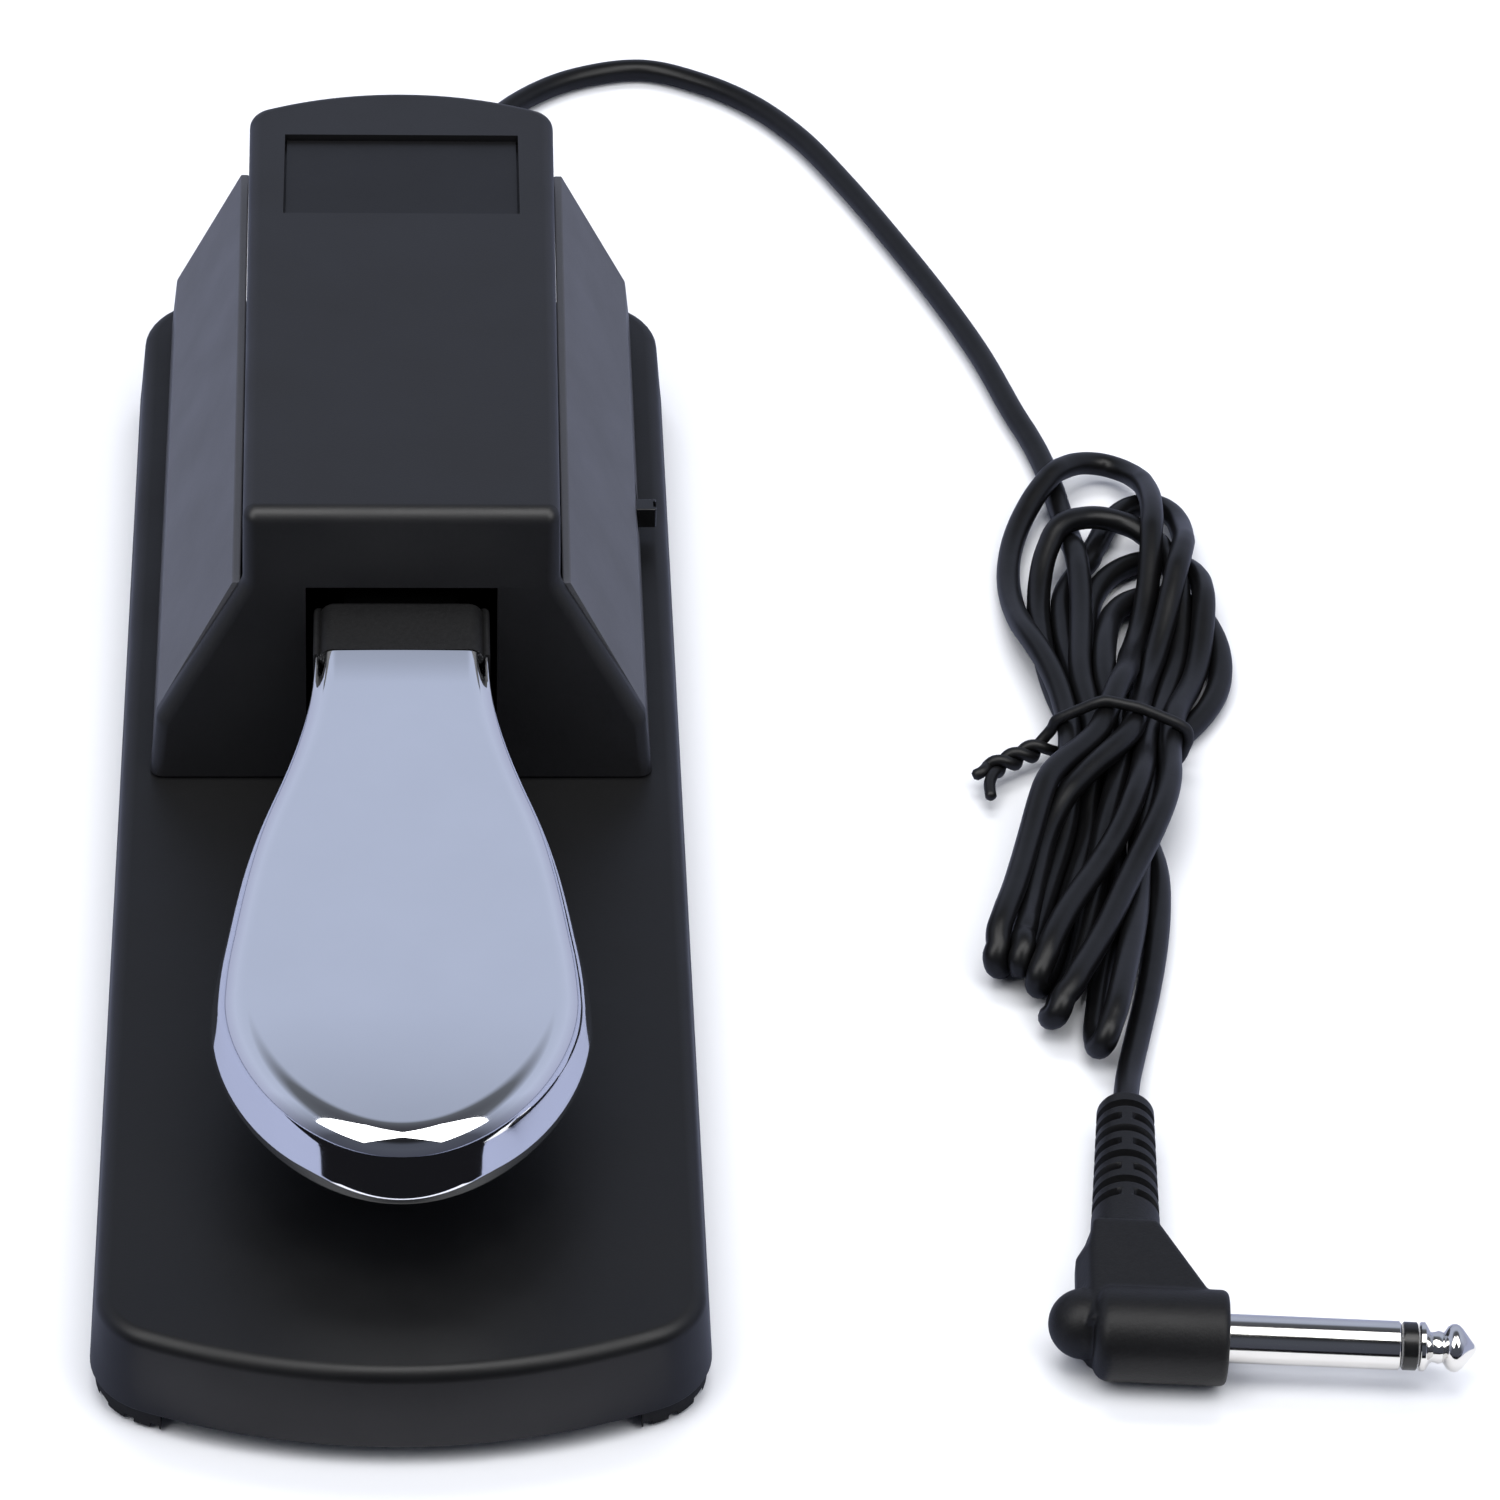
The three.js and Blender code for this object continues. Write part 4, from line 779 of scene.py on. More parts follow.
def fascia_outline():
    """Front view of the fascia, anticlockwise from its right foot: flared cheeks and a square top."""
    foot = WING_HIGH[0] + 0.15
    points = [(foot, HOUSING_SEAT), (WING_FOLD_X + 0.15, WING_FOLD_Z), (HOUSING_FRONT_HALF + 0.1, 43.4),
              (HOUSING_FRONT_HALF, HOUSING_TOP)]
    radii = [0, 2.5, 2.0, RIM_FILLET + 0.05]
    mirrored = [(-x, z) for x, z in reversed(points)]
    return rounded(points + mirrored, radii + radii[::-1], 8)


def fascia_ring(outline, depth, back):
    """The fascia's outline moved in by depth, except along its foot, on a plane moved back by back."""
    moved = inset(outline, depth)
    foot = outline[:, 1] < HOUSING_SEAT + 0.01
    moved[foot, 0] = outline[foot, 0] - np.sign(outline[foot, 0]) * depth
    moved[foot, 1] = HOUSING_SEAT
    return np.column_stack([moved[:, 0], fascia_y(moved[:, 1], back), moved[:, 1]])


def upper_housing():
    """The tower with its flared front, hollow, with the nameplate's recess and the lever's opening."""
    rings = [tower_ring(z, 0, RIM_FILLET) for z in (HOUSING_SEAT, 30, 42)]
    rings += [tower_ring(HOUSING_TOP - drop, depth, RIM_FILLET) for depth, drop in fillet(RIM_FILLET, 8)]
    tower = build("housing_moulding", *loft(rings))
    outline = fascia_outline()
    slab_rings = [fascia_ring(outline, depth, drop) for depth, drop in reversed(fillet(RIM_FILLET, 8))]
    slab_rings.append(fascia_ring(outline, 0, cheek_depth(outline[:, 1])))
    combine(tower, "UNION", build("fascia", *loft(slab_rings)))
    hollow = build("hollow", *loft([tower_ring(z, HOUSING_WALL, 3.0) for z in (10, HOUSING_TOP - ROOF)]))
    low, high = corners("nameplate")
    recess = block("recess", low - PLATE_GAP, (high[0] + PLATE_GAP, high[1] + PLATE_GAP, HOUSING_TOP + 5))
    opening = block("opening", (-OPENING_HALF, OPENING_FRONT, 10), (OPENING_HALF, OPENING_REAR, OPENING_TOP))
    combine(tower, "DIFFERENCE", hollow, recess, opening)
    posts = []
    for k in range(1, 5):
        x, y, _ = middle_of(f"housing_screw_{k}")
        posts.append(bar("boss", (x, y, HOUSING_SEAT + 0.02), (x, y, HOUSING_BOSS_TOP), SCREW_BOSS))
    combine(tower, "UNION", *posts)
    bevelled(tower, 0.3, 2, 60)
    return piece(tower, "housing_plastic", replaces=["upper_housing"])


def wing(side):
    """One grey panel: a folded sheet from the roof's edge down to the deck."""
    node = "wing_right" if side > 0 else "wing_left"
    foot, top, seat = WING_HIGH[0], WING_HIGH[2], WING_LOW[2]
    ends = []
    for edge in (WING_FRONT_EDGE, WING_REAR_EDGE):
        outline = rounded([
            (edge, top), (WING_FOLD_X - WING_SHEET, WING_FOLD_Z - 0.4), (foot - WING_SHEET, seat),
            (foot, seat), (WING_FOLD_X, WING_FOLD_Z), (edge + 1.3, top),
        ], [0.25, 0.6, 0, 0, 2.1, 0.3], 8)
        ends.append(outline)
    y = fascia_y(ends[0][:, 1], cheek_depth(ends[0][:, 1]) + 0.2)
    front = np.column_stack([side * ends[0][:, 0], y, ends[0][:, 1]])
    rear = np.column_stack([side * ends[1][:, 0], np.full(len(ends[1]), WING_HIGH[1]), ends[1][:, 1]])
    panel = build(node + "_panel", *loft([front, rear]))
    if side > 0:
        low, high = corners("polarity_knob")
        slot = block("slot", (30, low[1] - SLOT_GAP, low[2] - SLOT_GAP),
                     (42, high[1] + SLOT_BEHIND, high[2] + SLOT_GAP))
        combine(panel, "DIFFERENCE", slot)
    posts = []
    for k in range(1, 5):
        x, y, _ = middle_of(f"wing_screw_{k}")
        if x * side > 0:
            posts.append(bar("boss", (x, y, seat + 0.02), (x, y, WING_BOSS_TOP), SCREW_BOSS))
    combine(panel, "UNION", *posts)
    bevelled(panel, 0.22, 2, 60)
    return piece(panel, "wing_plastic", replaces=[node])


def polarity_knob():
    """A glossy slide knob with grip ribs across its end."""
    low, high = corners("polarity_knob")
    low, high = low + (0, 1.8, 0.3), high + (-0.2, 0.5, -0.4)
    knob = block("slide_knob", low, high, 0.2)
    ribs = [block("rib", (high[0] - 0.45, y - 0.22, low[2] - 1), (high[0] + 1, y + 0.22, high[2] + 1))
            for y in np.linspace(low[1] + 0.9, high[1] - 0.9, 3)]
    combine(knob, "DIFFERENCE", *ribs)
    return piece(knob, "knob_gloss", body="polarity_slider", replaces=["polarity_knob"])


# ---------------------------------------------------------------- pedal

SHELL_LOW, SHELL_HIGH = corners("pedal_shell")
NECK_Y, TOE_Y, WIDE_Y = SHELL_HIGH[1] - 1.4, SHELL_LOW[1], -72.0
NECK_HALF, WIDE_HALF = 11.8, SHELL_HIGH[0]
NECK_TOP, TOE_TOP, NECK_RIM, TOE_RIM = SHELL_HIGH[2], 38.0, 35.8, SHELL_LOW[2]
SHELL_FILLET, SHELL_LEAN, SHELL_SHEET, SHELL_CROWN = 3.9, 0.9, 1.0, 0.45
CROWN_STEPS, NECK_CROWN, NECK_EDGE, NECK_TURN = 20, 3.0, 0.35, math.radians(42)
RISE, RISE_LENGTH = 0.38, 11.0
ROW_POINTS = 15


def cubic(a, b, c, d, t):
    """Point and direction on a cubic Bezier curve."""
    a, b, c, d = (np.array(p, float) for p in (a, b, c, d))
    point = (1 - t) ** 3 * a + 3 * (1 - t) ** 2 * t * b + 3 * (1 - t) * t * t * c + t ** 3 * d
    along = 3 * ((1 - t) ** 2 * (b - a) + 2 * (1 - t) * t * (c - b) + t * t * (d - c))
    return point, along / np.linalg.norm(along)


def pedal_stations():
    """Points of the right half of the pedal's outline from neck to toe, with outward normals."""
    side = [(NECK_HALF, NECK_Y), (NECK_HALF + 0.6, -30), (WIDE_HALF - 0.2, -46), (WIDE_HALF, WIDE_Y)]
    toe = [(WIDE_HALF, WIDE_Y), (WIDE_HALF, -86), (13.5, TOE_Y), (0, TOE_Y)]
    stations = []
    for curve, ts in ((side, np.linspace(0, 1, 40)), (toe, np.linspace(0, 1, 52)[1:])):
        for t in ts:
            point, along = cubic(*curve, t)
            normal = np.array([-along[1], along[0]])
            normal *= 1 if normal[0] >= 0 else -1
            stations.append((point, normal))
    stations[0] = (stations[0][0], np.array([1.0, 0.0]))
    stations[-1] = (np.array([0.0, TOE_Y]), np.array([0.0, -1.0]))
    return stations


def ease(value, start, end):
    """A smooth step from 0 at start to 1 at end."""
    t = np.clip((value - start) / (end - start), 0, 1)
    return t * t * (3 - 2 * t)


def down_pedal(y):
    """How far y lies from the neck, 0, to the toe, 1."""
    return (NECK_Y - y) / (NECK_Y - TOE_Y)


def pedal_section(y, rim_drop):
    """(inset, drop) pairs of the shell's edge at y, from the crown down the outside to the rim.

    The wide part has a round edge and a leaning wall; the neck a soft crown and a crisp edge, with a
    crease beside it that fades a little way along."""
    wall = SHELL_LEAN * ease(-y, -NECK_Y, 60)
    lean = math.atan2(wall, max(rim_drop - 0.4 - SHELL_FILLET, 1))
    turn = np.linspace(0, np.pi / 2 - lean, CROWN_STEPS)
    wide = [(wall + SHELL_FILLET * (1 - math.sin(t)), SHELL_FILLET * (1 - math.cos(t))) for t in turn]
    wide += [(wide[-1][0] - d * math.tan(lean), wide[-1][1] + d) for d in (0.1, 0.2, 0.3, 0.4, 0.5)]
    reach = NECK_CROWN - NECK_EDGE * (1 - math.sin(NECK_TURN))
    radius = reach / math.sin(NECK_TURN)
    fall = radius * (1 - math.cos(NECK_TURN))
    crease = 2.6 * (1 - ease(-y, -NECK_Y, 9))
    neck = []
    for t in np.linspace(0, NECK_TURN, CROWN_STEPS):
        depth = NECK_CROWN - radius * math.sin(t)
        neck.append((depth, radius * (1 - math.cos(t)) + crease * math.exp(-((depth - 0.9) / 0.36) ** 2)))
    for t in np.linspace(NECK_TURN, np.pi / 2, 6)[1:]:
        neck.append((NECK_EDGE * (1 - math.sin(t)), fall + NECK_EDGE * (math.cos(NECK_TURN) - math.cos(t))))
    share = ease(y, -62, -34)
    section = np.array(wide) * (1 - share) + np.array(neck) * share
    start = section[-1]
    walls = [start + (np.array([0, rim_drop - 0.4]) - start) * s for s in (0.25, 0.5, 0.75, 1)]
    return np.vstack([section, walls, [(0.1, rim_drop - 0.1), (0.4, rim_drop)]])


def pedal_inside(y, rim_drop, count):
    """(inset, drop) pairs of the inside of the shell, from the crown to the rim."""
    share = ease(y, -62, -34)
    wall = SHELL_SHEET + SHELL_LEAN * ease(-y, -NECK_Y, 60)
    radius = (SHELL_FILLET - 0.9) * (1 - share) + 2.0 * share
    top = SHELL_SHEET + 1.6 * (1 - ease(-y, -NECK_Y, 9))
    turn = np.linspace(0, np.pi / 2, count - 3)
    points = [(wall + radius * (1 - math.sin(t)), top + radius * (1 - math.cos(t))) for t in turn]
    last = (SHELL_SHEET + 0.1 * share, rim_drop - 0.35)
    points += [(wall, min(top + radius + 0.2, rim_drop - 0.4)), last, (0.75, rim_drop)]
    return np.array(points)


def section_row(point, normal, section, across, crown):
    """One row of the shell from its left rim over the crown to its right rim."""
    first_depth, first_drop = section[0]
    inner = [(first_depth + reach, first_drop) for reach in (2.6, 1.7, 1.0, 0.5, 0.2)]
    tops = []
    for depth, drop in [*inner, *section]:
        x, y = point - normal * depth
        x = max(x, 0)
        tops.append((x, y, surface_top(x, y, crown) - drop))
    edge_x, edge_y = tops[0][0], tops[0][1]
    row = [(-x, y, z) for x, y, z in reversed(tops)]
    for s in np.linspace(-1, 1, across + 2)[1:-1]:
        x = edge_x * math.sin(s * math.pi / 2)
        row.append((x, edge_y, surface_top(x, edge_y, crown) - section[0][1]))
    return np.array(row + tops)


def surface_top(x, y, crown):
    """Height of the pedal's upper surface, slightly domed across and towards the toe."""
    level = NECK_TOP + (TOE_TOP - NECK_TOP) * down_pedal(y)
    level += RISE * max(0.0, 1 - (NECK_Y - y) / RISE_LENGTH) ** 2
    half = WIDE_HALF - 3
    edge = max(0.0, 1 - ((y - WIDE_Y) / (TOE_Y - WIDE_Y)) ** 2) if y < WIDE_Y else 1.0
    return level - crown * (x / half) ** 2 - crown * (1 - edge) * 0.8


def pedal_shell():
    """The chromed shell: its outside and inside joined at the rim, and two posts for its screws."""
    rows = []
    for point, normal in pedal_stations():
        y = min(point[1], NECK_Y)
        top = NECK_TOP + (TOE_TOP - NECK_TOP) * down_pedal(y)
        rim_drop = top - (NECK_RIM + (TOE_RIM - NECK_RIM) * down_pedal(y))
        outside = pedal_section(y, rim_drop)
        inside = pedal_inside(y, rim_drop, len(outside))
        outer = section_row(point, normal, outside, ROW_POINTS, SHELL_CROWN)
        inner = section_row(point, normal, inside, ROW_POINTS, SHELL_CROWN)
        rows.append(np.vstack([outer, inner[::-1]]))
    verts, faces = loft(rows, caps=False)
    count = len(rows[0])
    faces += [(j, j + 1, count - 2 - j, count - 1 - j) for j in range(count // 2 - 1)]
    shell = build("chrome_shell", verts, faces)
    posts = []
    for node in ("shell_screw_rear", "shell_screw_front"):
        y = middle_of(node)[1]
        under = surface_top(0, y, SHELL_CROWN) - SHELL_SHEET + 0.2
        profile = [(1.5, 33), (2.3, 33), (2.6, 33.3), (2.6, under), (1.5, under)]
        posts.append(revolve("post", profile, (0, y, 0), closed=True))
    parts = [shell, *posts]
    with bpy.context.temp_override(active_object=shell, selected_editable_objects=parts):
        bpy.ops.object.join()
    return piece(shell, "pedal_chrome", body="pedal", replaces=["pedal_shell"], sharp=50, weigh=False)


ARM_TOP, ARM_HALF, HEAD_LOW_Z, HEAD_REAR = 40.3, 12.1, 33.0, 8.2
BEAM_HALF, BOSS_RADIUS, BOSS_HALF, AXLE_BORE, SCREW_BORE = 8.0, 7.5, 12, 4.3, 2.9


def arm_head():
    """The visible block behind the shell, with a groove and a lip along the top of its sides."""
    side = [(2.9 - 1.9 * math.sin(t), 1.5 * (1 - math.cos(t))) for t in np.linspace(0, 1.35, 10)]
    side += [(0.92, 1.3), (0.75, 1.0), (0.5, 0.86), (0.25, 0.9), (0.06, 1.1), (0, 1.5)]
    right = [(ARM_HALF - depth, ARM_TOP - drop) for depth, drop in side]
    right += [(ARM_HALF, HEAD_LOW_Z + 0.8), (ARM_HALF - 0.23, HEAD_LOW_Z + 0.23),
              (ARM_HALF - 0.8, HEAD_LOW_Z)]
    outline = np.array([(-x, z) for x, z in right] + [(x, z) for x, z in reversed(right)])
    front = NECK_Y + 0.3
    rings = [(front, 0.0), (front + 2, 0.0), (HEAD_REAR - 3, 0.0)]
    rings += [(HEAD_REAR - drop, depth) for depth, drop in fillet(1.3, 7)]
    height = ARM_TOP - HEAD_LOW_Z
    stack = []
    for y, depth in rings:
        x = outline[:, 0] * ((ARM_HALF - depth) / ARM_HALF)
        z = HEAD_LOW_Z + (outline[:, 1] - HEAD_LOW_Z) * (ARM_TOP - depth - HEAD_LOW_Z) / height
        stack.append(np.column_stack([x, np.full(len(x), y), z]))
    return build("lever_arm", *loft(stack))


def pedal_arm():
    """The lever: its head, the beam under the shell and back to the tail, and the bored pivot boss."""
    low, high = corners("pedal_arm")
    tongue_y, tail_y = low[1], high[1]
    _, pivot_y, pivot_z = middle_of("pivot_axle")
    under = NECK_TOP - SHELL_SHEET - 0.75
    beam_side = [
        (tongue_y, 33), (12, 32), (80, 32), (tail_y, 27.4), (tail_y, 34), (94, 36.6), (HEAD_REAR, 36.6),
        (NECK_Y + 1, 38.2), (NECK_Y - 1, under - 0.6), (tongue_y, under - 1.6),
    ]
    rings = [[(x, y, z) for y, z in beam_side] for x in (-BEAM_HALF, BEAM_HALF)]
    beam = bevelled(build("beam", *loft(rings)), 0.7, 3)
    arm = arm_head()
    ends = [(x, pivot_y, pivot_z) for x in (-BOSS_HALF, BOSS_HALF)]
    boss = bar("boss", *ends, BOSS_RADIUS, 56, edge=0.6)
    spring_y = middle_of("return_spring")[1]
    pin = bar("spring_pin", (0, spring_y, 28), (0, spring_y, 34), SPRING_PIN, edge=0.6)
    low, high = corners("microswitch_lever")
    rib = block("switch_rib", (-2.5, low[1] - 0.5, high[2] + 0.3), (2.5, low[1] + 2.5, 34), 0.3)
    combine(arm, "UNION", beam, boss, pin, rib)
    holes = [bar("bore", (-20, pivot_y, pivot_z), (20, pivot_y, pivot_z), AXLE_BORE, 56)]
    for node in ("shell_screw_rear", "shell_screw_front"):
        y = middle_of(node)[1]
        holes.append(bar("screw_hole", (0, y, 20), (0, y, 45), SCREW_BORE, 28))
    combine(arm, "DIFFERENCE", *holes)
    return piece(arm, "arm_plastic", body="pedal", replaces=["pedal_arm"])


def pivot():
    """The two flanged bushes, the grooved axle and the rubber stop pads."""
    _, y, z = middle_of("pivot_axle")
    bush_profile = [(2.8, 4.2), (3.0, 4), (4, 4), (4, 12.3), (5.3, 12.3), (5.5, 12.5), (5.5, 13),
                    (5.3, 13.2), (3, 13.2), (2.8, 13.0)]
    for side, hand in ((-1, "left"), (1, "right")):
        bush = revolve(f"bush_{hand}", bush_profile, (0, y, z), (side, 0, 0), 64, closed=True)
        piece(bush, "nylon", body="pedal", replaces=[f"pivot_bush_{hand}"])
    half = [(2.5, 0), (2.5, 15.2), (1.9, 15.2), (1.9, 16.3), (2.5, 16.3), (2.5, 16.8), (2.2, 17.1), (0, 17.1)]
    axle = revolve("axle_rod", [(r, -x) for r, x in reversed(half)] + half[1:], (0, y, z), (1, 0, 0), 56)
    piece(axle, "inner_steel", replaces=["pivot_axle"])
    for node, radius in PAD_RADII.items():
        low, high = corners(node)
        top, bottom = high[2], low[2]
        profile = [(0, bottom), (radius - 0.2, bottom), (radius, bottom + 0.2), (radius, top - 0.9),
                   (radius - 0.3, top - 0.35), (radius - 0.9, top - 0.06), (radius - 1.8, top), (0, top)]
        pad = revolve(node + "_disc", profile, (0, middle_of(node)[1], 0), sides=56)
        piece(pad, "pad_rubber", replaces=[node])


def return_spring():
    """A compression spring with closed ends."""
    wire, turns, closing, travel = 0.55, 7.5, 0.85, 2.7
    low, high = corners("return_spring")
    radius = (high[0] - low[0]) / 2 - wire
    y = (low[1] + high[1]) / 2
    t = np.linspace(0, turns, int(turns * 40) + 1)
    middle = np.clip((t - closing) / (turns - 2 * closing), 0, 1)
    ends = np.clip(t, 0, closing) / closing + np.clip(t - turns + closing, 0, closing) / closing
    height = high[2] - low[2] - 2 * wire
    flat = 2 * wire * 0.95
    z = low[2] + wire + flat * ends + (height - 2 * flat) * middle
    angle = 2 * np.pi * t
    path = np.column_stack([radius * np.cos(angle), y + radius * np.sin(angle), z])
    spring = piece(sweep("coil_spring", path, wire, 10), "spring_steel", replaces=["return_spring"])
    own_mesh(spring)


# ---------------------------------------------------------------- screws


def screw(node, toward, head_radius, head_height, shank=1.25, flanged=False):
    """A cross-head screw where a CAD screw is; toward is the way its point goes."""
    low, high = corners(node)
    way = np.array(toward, float)
    length = abs((high - low) @ way)
    start = (low + high) / 2 - way * length / 2
    if flanged:
        head = [(head_radius * 0.4, 0.02), (head_radius * 0.52, 0.5),
                (head_radius * 0.55, head_height - 0.6), (head_radius - 0.1, head_height - 0.55),
                (head_radius, head_height - 0.4)]
    else:
        head = [(head_radius * 0.45, 0.02), (head_radius * 0.8, head_height * 0.28),
                (head_radius, head_height * 0.7)]
    at, pitch, root = head_height + 0.5, 0.9, shank * 0.8
    profile = [(0, 0), *head, (head_radius, head_height), (shank, head_height), (shank, at)]
    while at < length - 2.2:
        profile += [(root, at + 0.25 * pitch), (root, at + 0.55 * pitch), (shank, at + 0.9 * pitch)]
        at += pitch
    profile += [(root, length - 1.2), (0, length)]
    obj = revolve(node + "_part", profile, start, way, 32)
    along, first, second = frame_about(way)
    wide, narrow, deep = head_radius * (0.38 if flanged else 0.55), 0.3, min(head_height * 0.75, 1.1)
    square = ((-1, -1), (1, -1), (1, 1), (-1, 1))
    for u, v in ((first, second), (second, first)):
        slot = [[start + along * d + u * a * w + v * b * narrow for a, b in square]
                for d, w in ((-1, wide * 1.2), (deep, wide * 0.35))]
        combine(obj, "DIFFERENCE", build("cross", *loft(slot)))
    return obj


def screws():
    """Every screw, from its node, the way it points, its head's size and its shank's radius."""
    up, down, right = (0, 0, 1), (0, 0, -1), (1, 0, 0)
    plan = [(f"{group}_screw_{k}", up, 2.8, 1.4) for group in ("housing", "wing", "plate")
            for k in range(1, 5)]
    for hand in ("left", "right"):
        plan.append((f"bracket_screw_{hand}", down, 2.6, 1.4))
        plan.append((f"clamp_screw_{hand}", up, 2.0, 1.0, 1.0))
    plan += [(f"shell_screw_{place}", up, 4.2, 1.8, 1.2, True) for place in ("rear", "front")]
    plan += [(f"switch_screw_{k}", right, 2.0, 1.4, 1.0) for k in (1, 2)]
    for node, *shape in plan:
        body = "pedal" if node.startswith("shell") else "root"
        piece(screw(node, *shape), "screw_steel", body=body, replaces=[node])


# ---------------------------------------------------------------- boot and plug


def cord_boot():
    """The rubber boot in the rear skirt, tapered and ringed so that the lead bends gently."""
    low, high = corners("cord_gland")
    start, end, z = low[1], high[1], (low[2] + high[2]) / 2
    collar = HALF_LENGTH + 0.3
    profile = [(1.85, start), (3.7, start), (3.9, start + 0.2), (3.9, start + 1.3), (2.9, start + 1.3),
               (2.9, collar), (4.2, collar), (4.4, collar + 0.3), (4.35, collar + 1.4),
               (4.05, collar + 1.8), (3.5, collar + 2.2)]
    y, rings = collar + 2.8, 4
    pitch = (end - 1.6 - y) / rings
    for k in range(rings):
        size = 3.55 - 0.22 * k
        profile += [(size, y), (size, y + 0.55 * pitch)]
        profile += [(size - 0.75, y + 0.66 * pitch), (size - 0.75, y + 0.9 * pitch)]
        y += pitch
    profile += [(2.62, y), (2.55, end - 0.3), (2.3, end), (1.85, end)]
    boot = revolve("cord_boot", profile, (0, 0, z), (0, 1, 0), 48, closed=True)
    return piece(boot, "boot_rubber", replaces=["cord_gland"])


PLUG_PLACE, PLUG_TURN = (88.8, -103.6, 6.2), math.radians(-3.9)
BARREL_RADIUS, BARREL_LENGTH, JACK_START = 6.2, 17.3, 17.9
RELIEF_FROM, RELIEF_TO = (94.4, -87.2, 6.0), (96.9, -58.6, 4.6)


def plug_point(x, y, z):
    """A point of the plug's own frame, barrel along +X and neck along +Y, in the object's frame."""
    c, s = math.cos(PLUG_TURN), math.sin(PLUG_TURN)
    return (PLUG_PLACE[0] + c * x - s * y, PLUG_PLACE[1] + s * x + c * y, PLUG_PLACE[2] + z)


PLUG_AXIS = np.array(plug_point(1, 0, 0)) - np.array(PLUG_PLACE)


def plug_relief():
    """The ribbed sleeve: full grooves, and between them slots broken by a web on top and below."""
    start, end = np.array(RELIEF_FROM), np.array(RELIEF_TO)
    length = np.linalg.norm(end - start)
    along = (end - start) / length
    up = np.array([0, 0, 1.0]) - along * along[2]
    up /= np.linalg.norm(up)
    side = np.cross(along, up)
    sides, steps = 72, 170
    turn = np.linspace(0, 2 * np.pi, sides, endpoint=False)

    def around(size):
        return np.outer(np.cos(turn) * size, up) + np.outer(np.sin(turn) * size, side)

    pitch, last, width, deep = 2.78, 7, 1.15, 1.15
    first = length - 2.9 - last * pitch
    web = np.clip((np.abs(np.sin(turn)) * 4.5 - 0.9) / 0.5, 0, 1)
    rings = []
    for s in np.linspace(0, length, steps):
        radius = 4.75 + (3.85 - 4.75) * (s / length) ** 0.8
        k = round((s - first) / pitch)
        off = abs(s - first - k * pitch)
        grooved = 0 <= k <= last and s < length - 1.6
        share = np.clip((width / 2 - off) / 0.22 + 0.5, 0, 1) if grooved else 0
        mask = web if k % 2 == 0 else np.ones(sides)
        end_round = 0.5 * max(0, 1 - (length - s) / 0.8) ** 2
        rings.append(start + along * s + around(radius - deep * share * mask - end_round))
    hole = around(1.8)
    rings += [end + hole, end - along * 3 + hole]
    sleeve = build("ribbed_relief", *loft(rings))
    return piece(sleeve, "plug_moulding", replaces=["plug_relief"], sharp=45)


def plug_body():
    """The angled moulding: a barrel, a flat-sided neck and a round end, blended into one skin."""
    turns = np.linspace(0, np.pi / 2, 6)
    radius, length, rear, front = BARREL_RADIUS, BARREL_LENGTH, 2.2, 0.9
    profile = [(0, 0)]
    profile += [(radius - rear + rear * math.sin(t), rear - rear * math.cos(t)) for t in turns]
    profile += [(radius, length - front)]
    profile += [(radius - front + front * math.cos(t), length - front + front * math.sin(t)) for t in turns]
    profile += [(3.5, length), (3.5, length - 0.6), (0, length - 0.6)]
    body = revolve("plug_moulding", profile, PLUG_PLACE, PLUG_AXIS, 72)
    half, edge = 4.9, 0.9
    levels = [(0, 0), (1.2, 0), (2.6, 0)]
    levels += [(half - edge + edge * math.sin(t), edge * (1 - math.cos(t))) for t in turns]
    stack = []
    for z, depth in levels:
        left = -0.2 - 2.0 * min(1, (half - z) / (half - 1.2))
        plan = [(left, -2), (14.6, -2), (14.8, 4.2), (8.4, 17.3), (-0.1, 17.3), (left, 12.5)]
        ring = inset(rounded(plan, [0, 0, 1.5, 1.0, 0.8, 1.0], 6), depth)
        stack += [(z, ring), (-z, ring)] if z else [(z, ring)]
    stack.sort(key=lambda level: level[0])
    neck = build("neck", *loft([[plug_point(x, y, z) for x, y in ring] for z, ring in stack]))
    dome_radius = 4.6
    ball = [(dome_radius * math.sin(t), -dome_radius * math.cos(t)) for t in np.linspace(0, np.pi, 25)]
    dome = revolve("dome", ball, plug_point(-1.2, 1.6, 0), (0, 0, 1), 48)
    combine(body, "UNION", neck, dome)
    blend = body.modifiers.new("blend", "REMESH")
    blend.mode, blend.voxel_size = "VOXEL", 0.24 * MM
    soften = body.modifiers.new("soften", "SMOOTH")
    soften.factor, soften.iterations = 0.5, 4
    bake(body)
    return piece(body, "plug_moulding", replaces=["plug_body"], sharp=180)


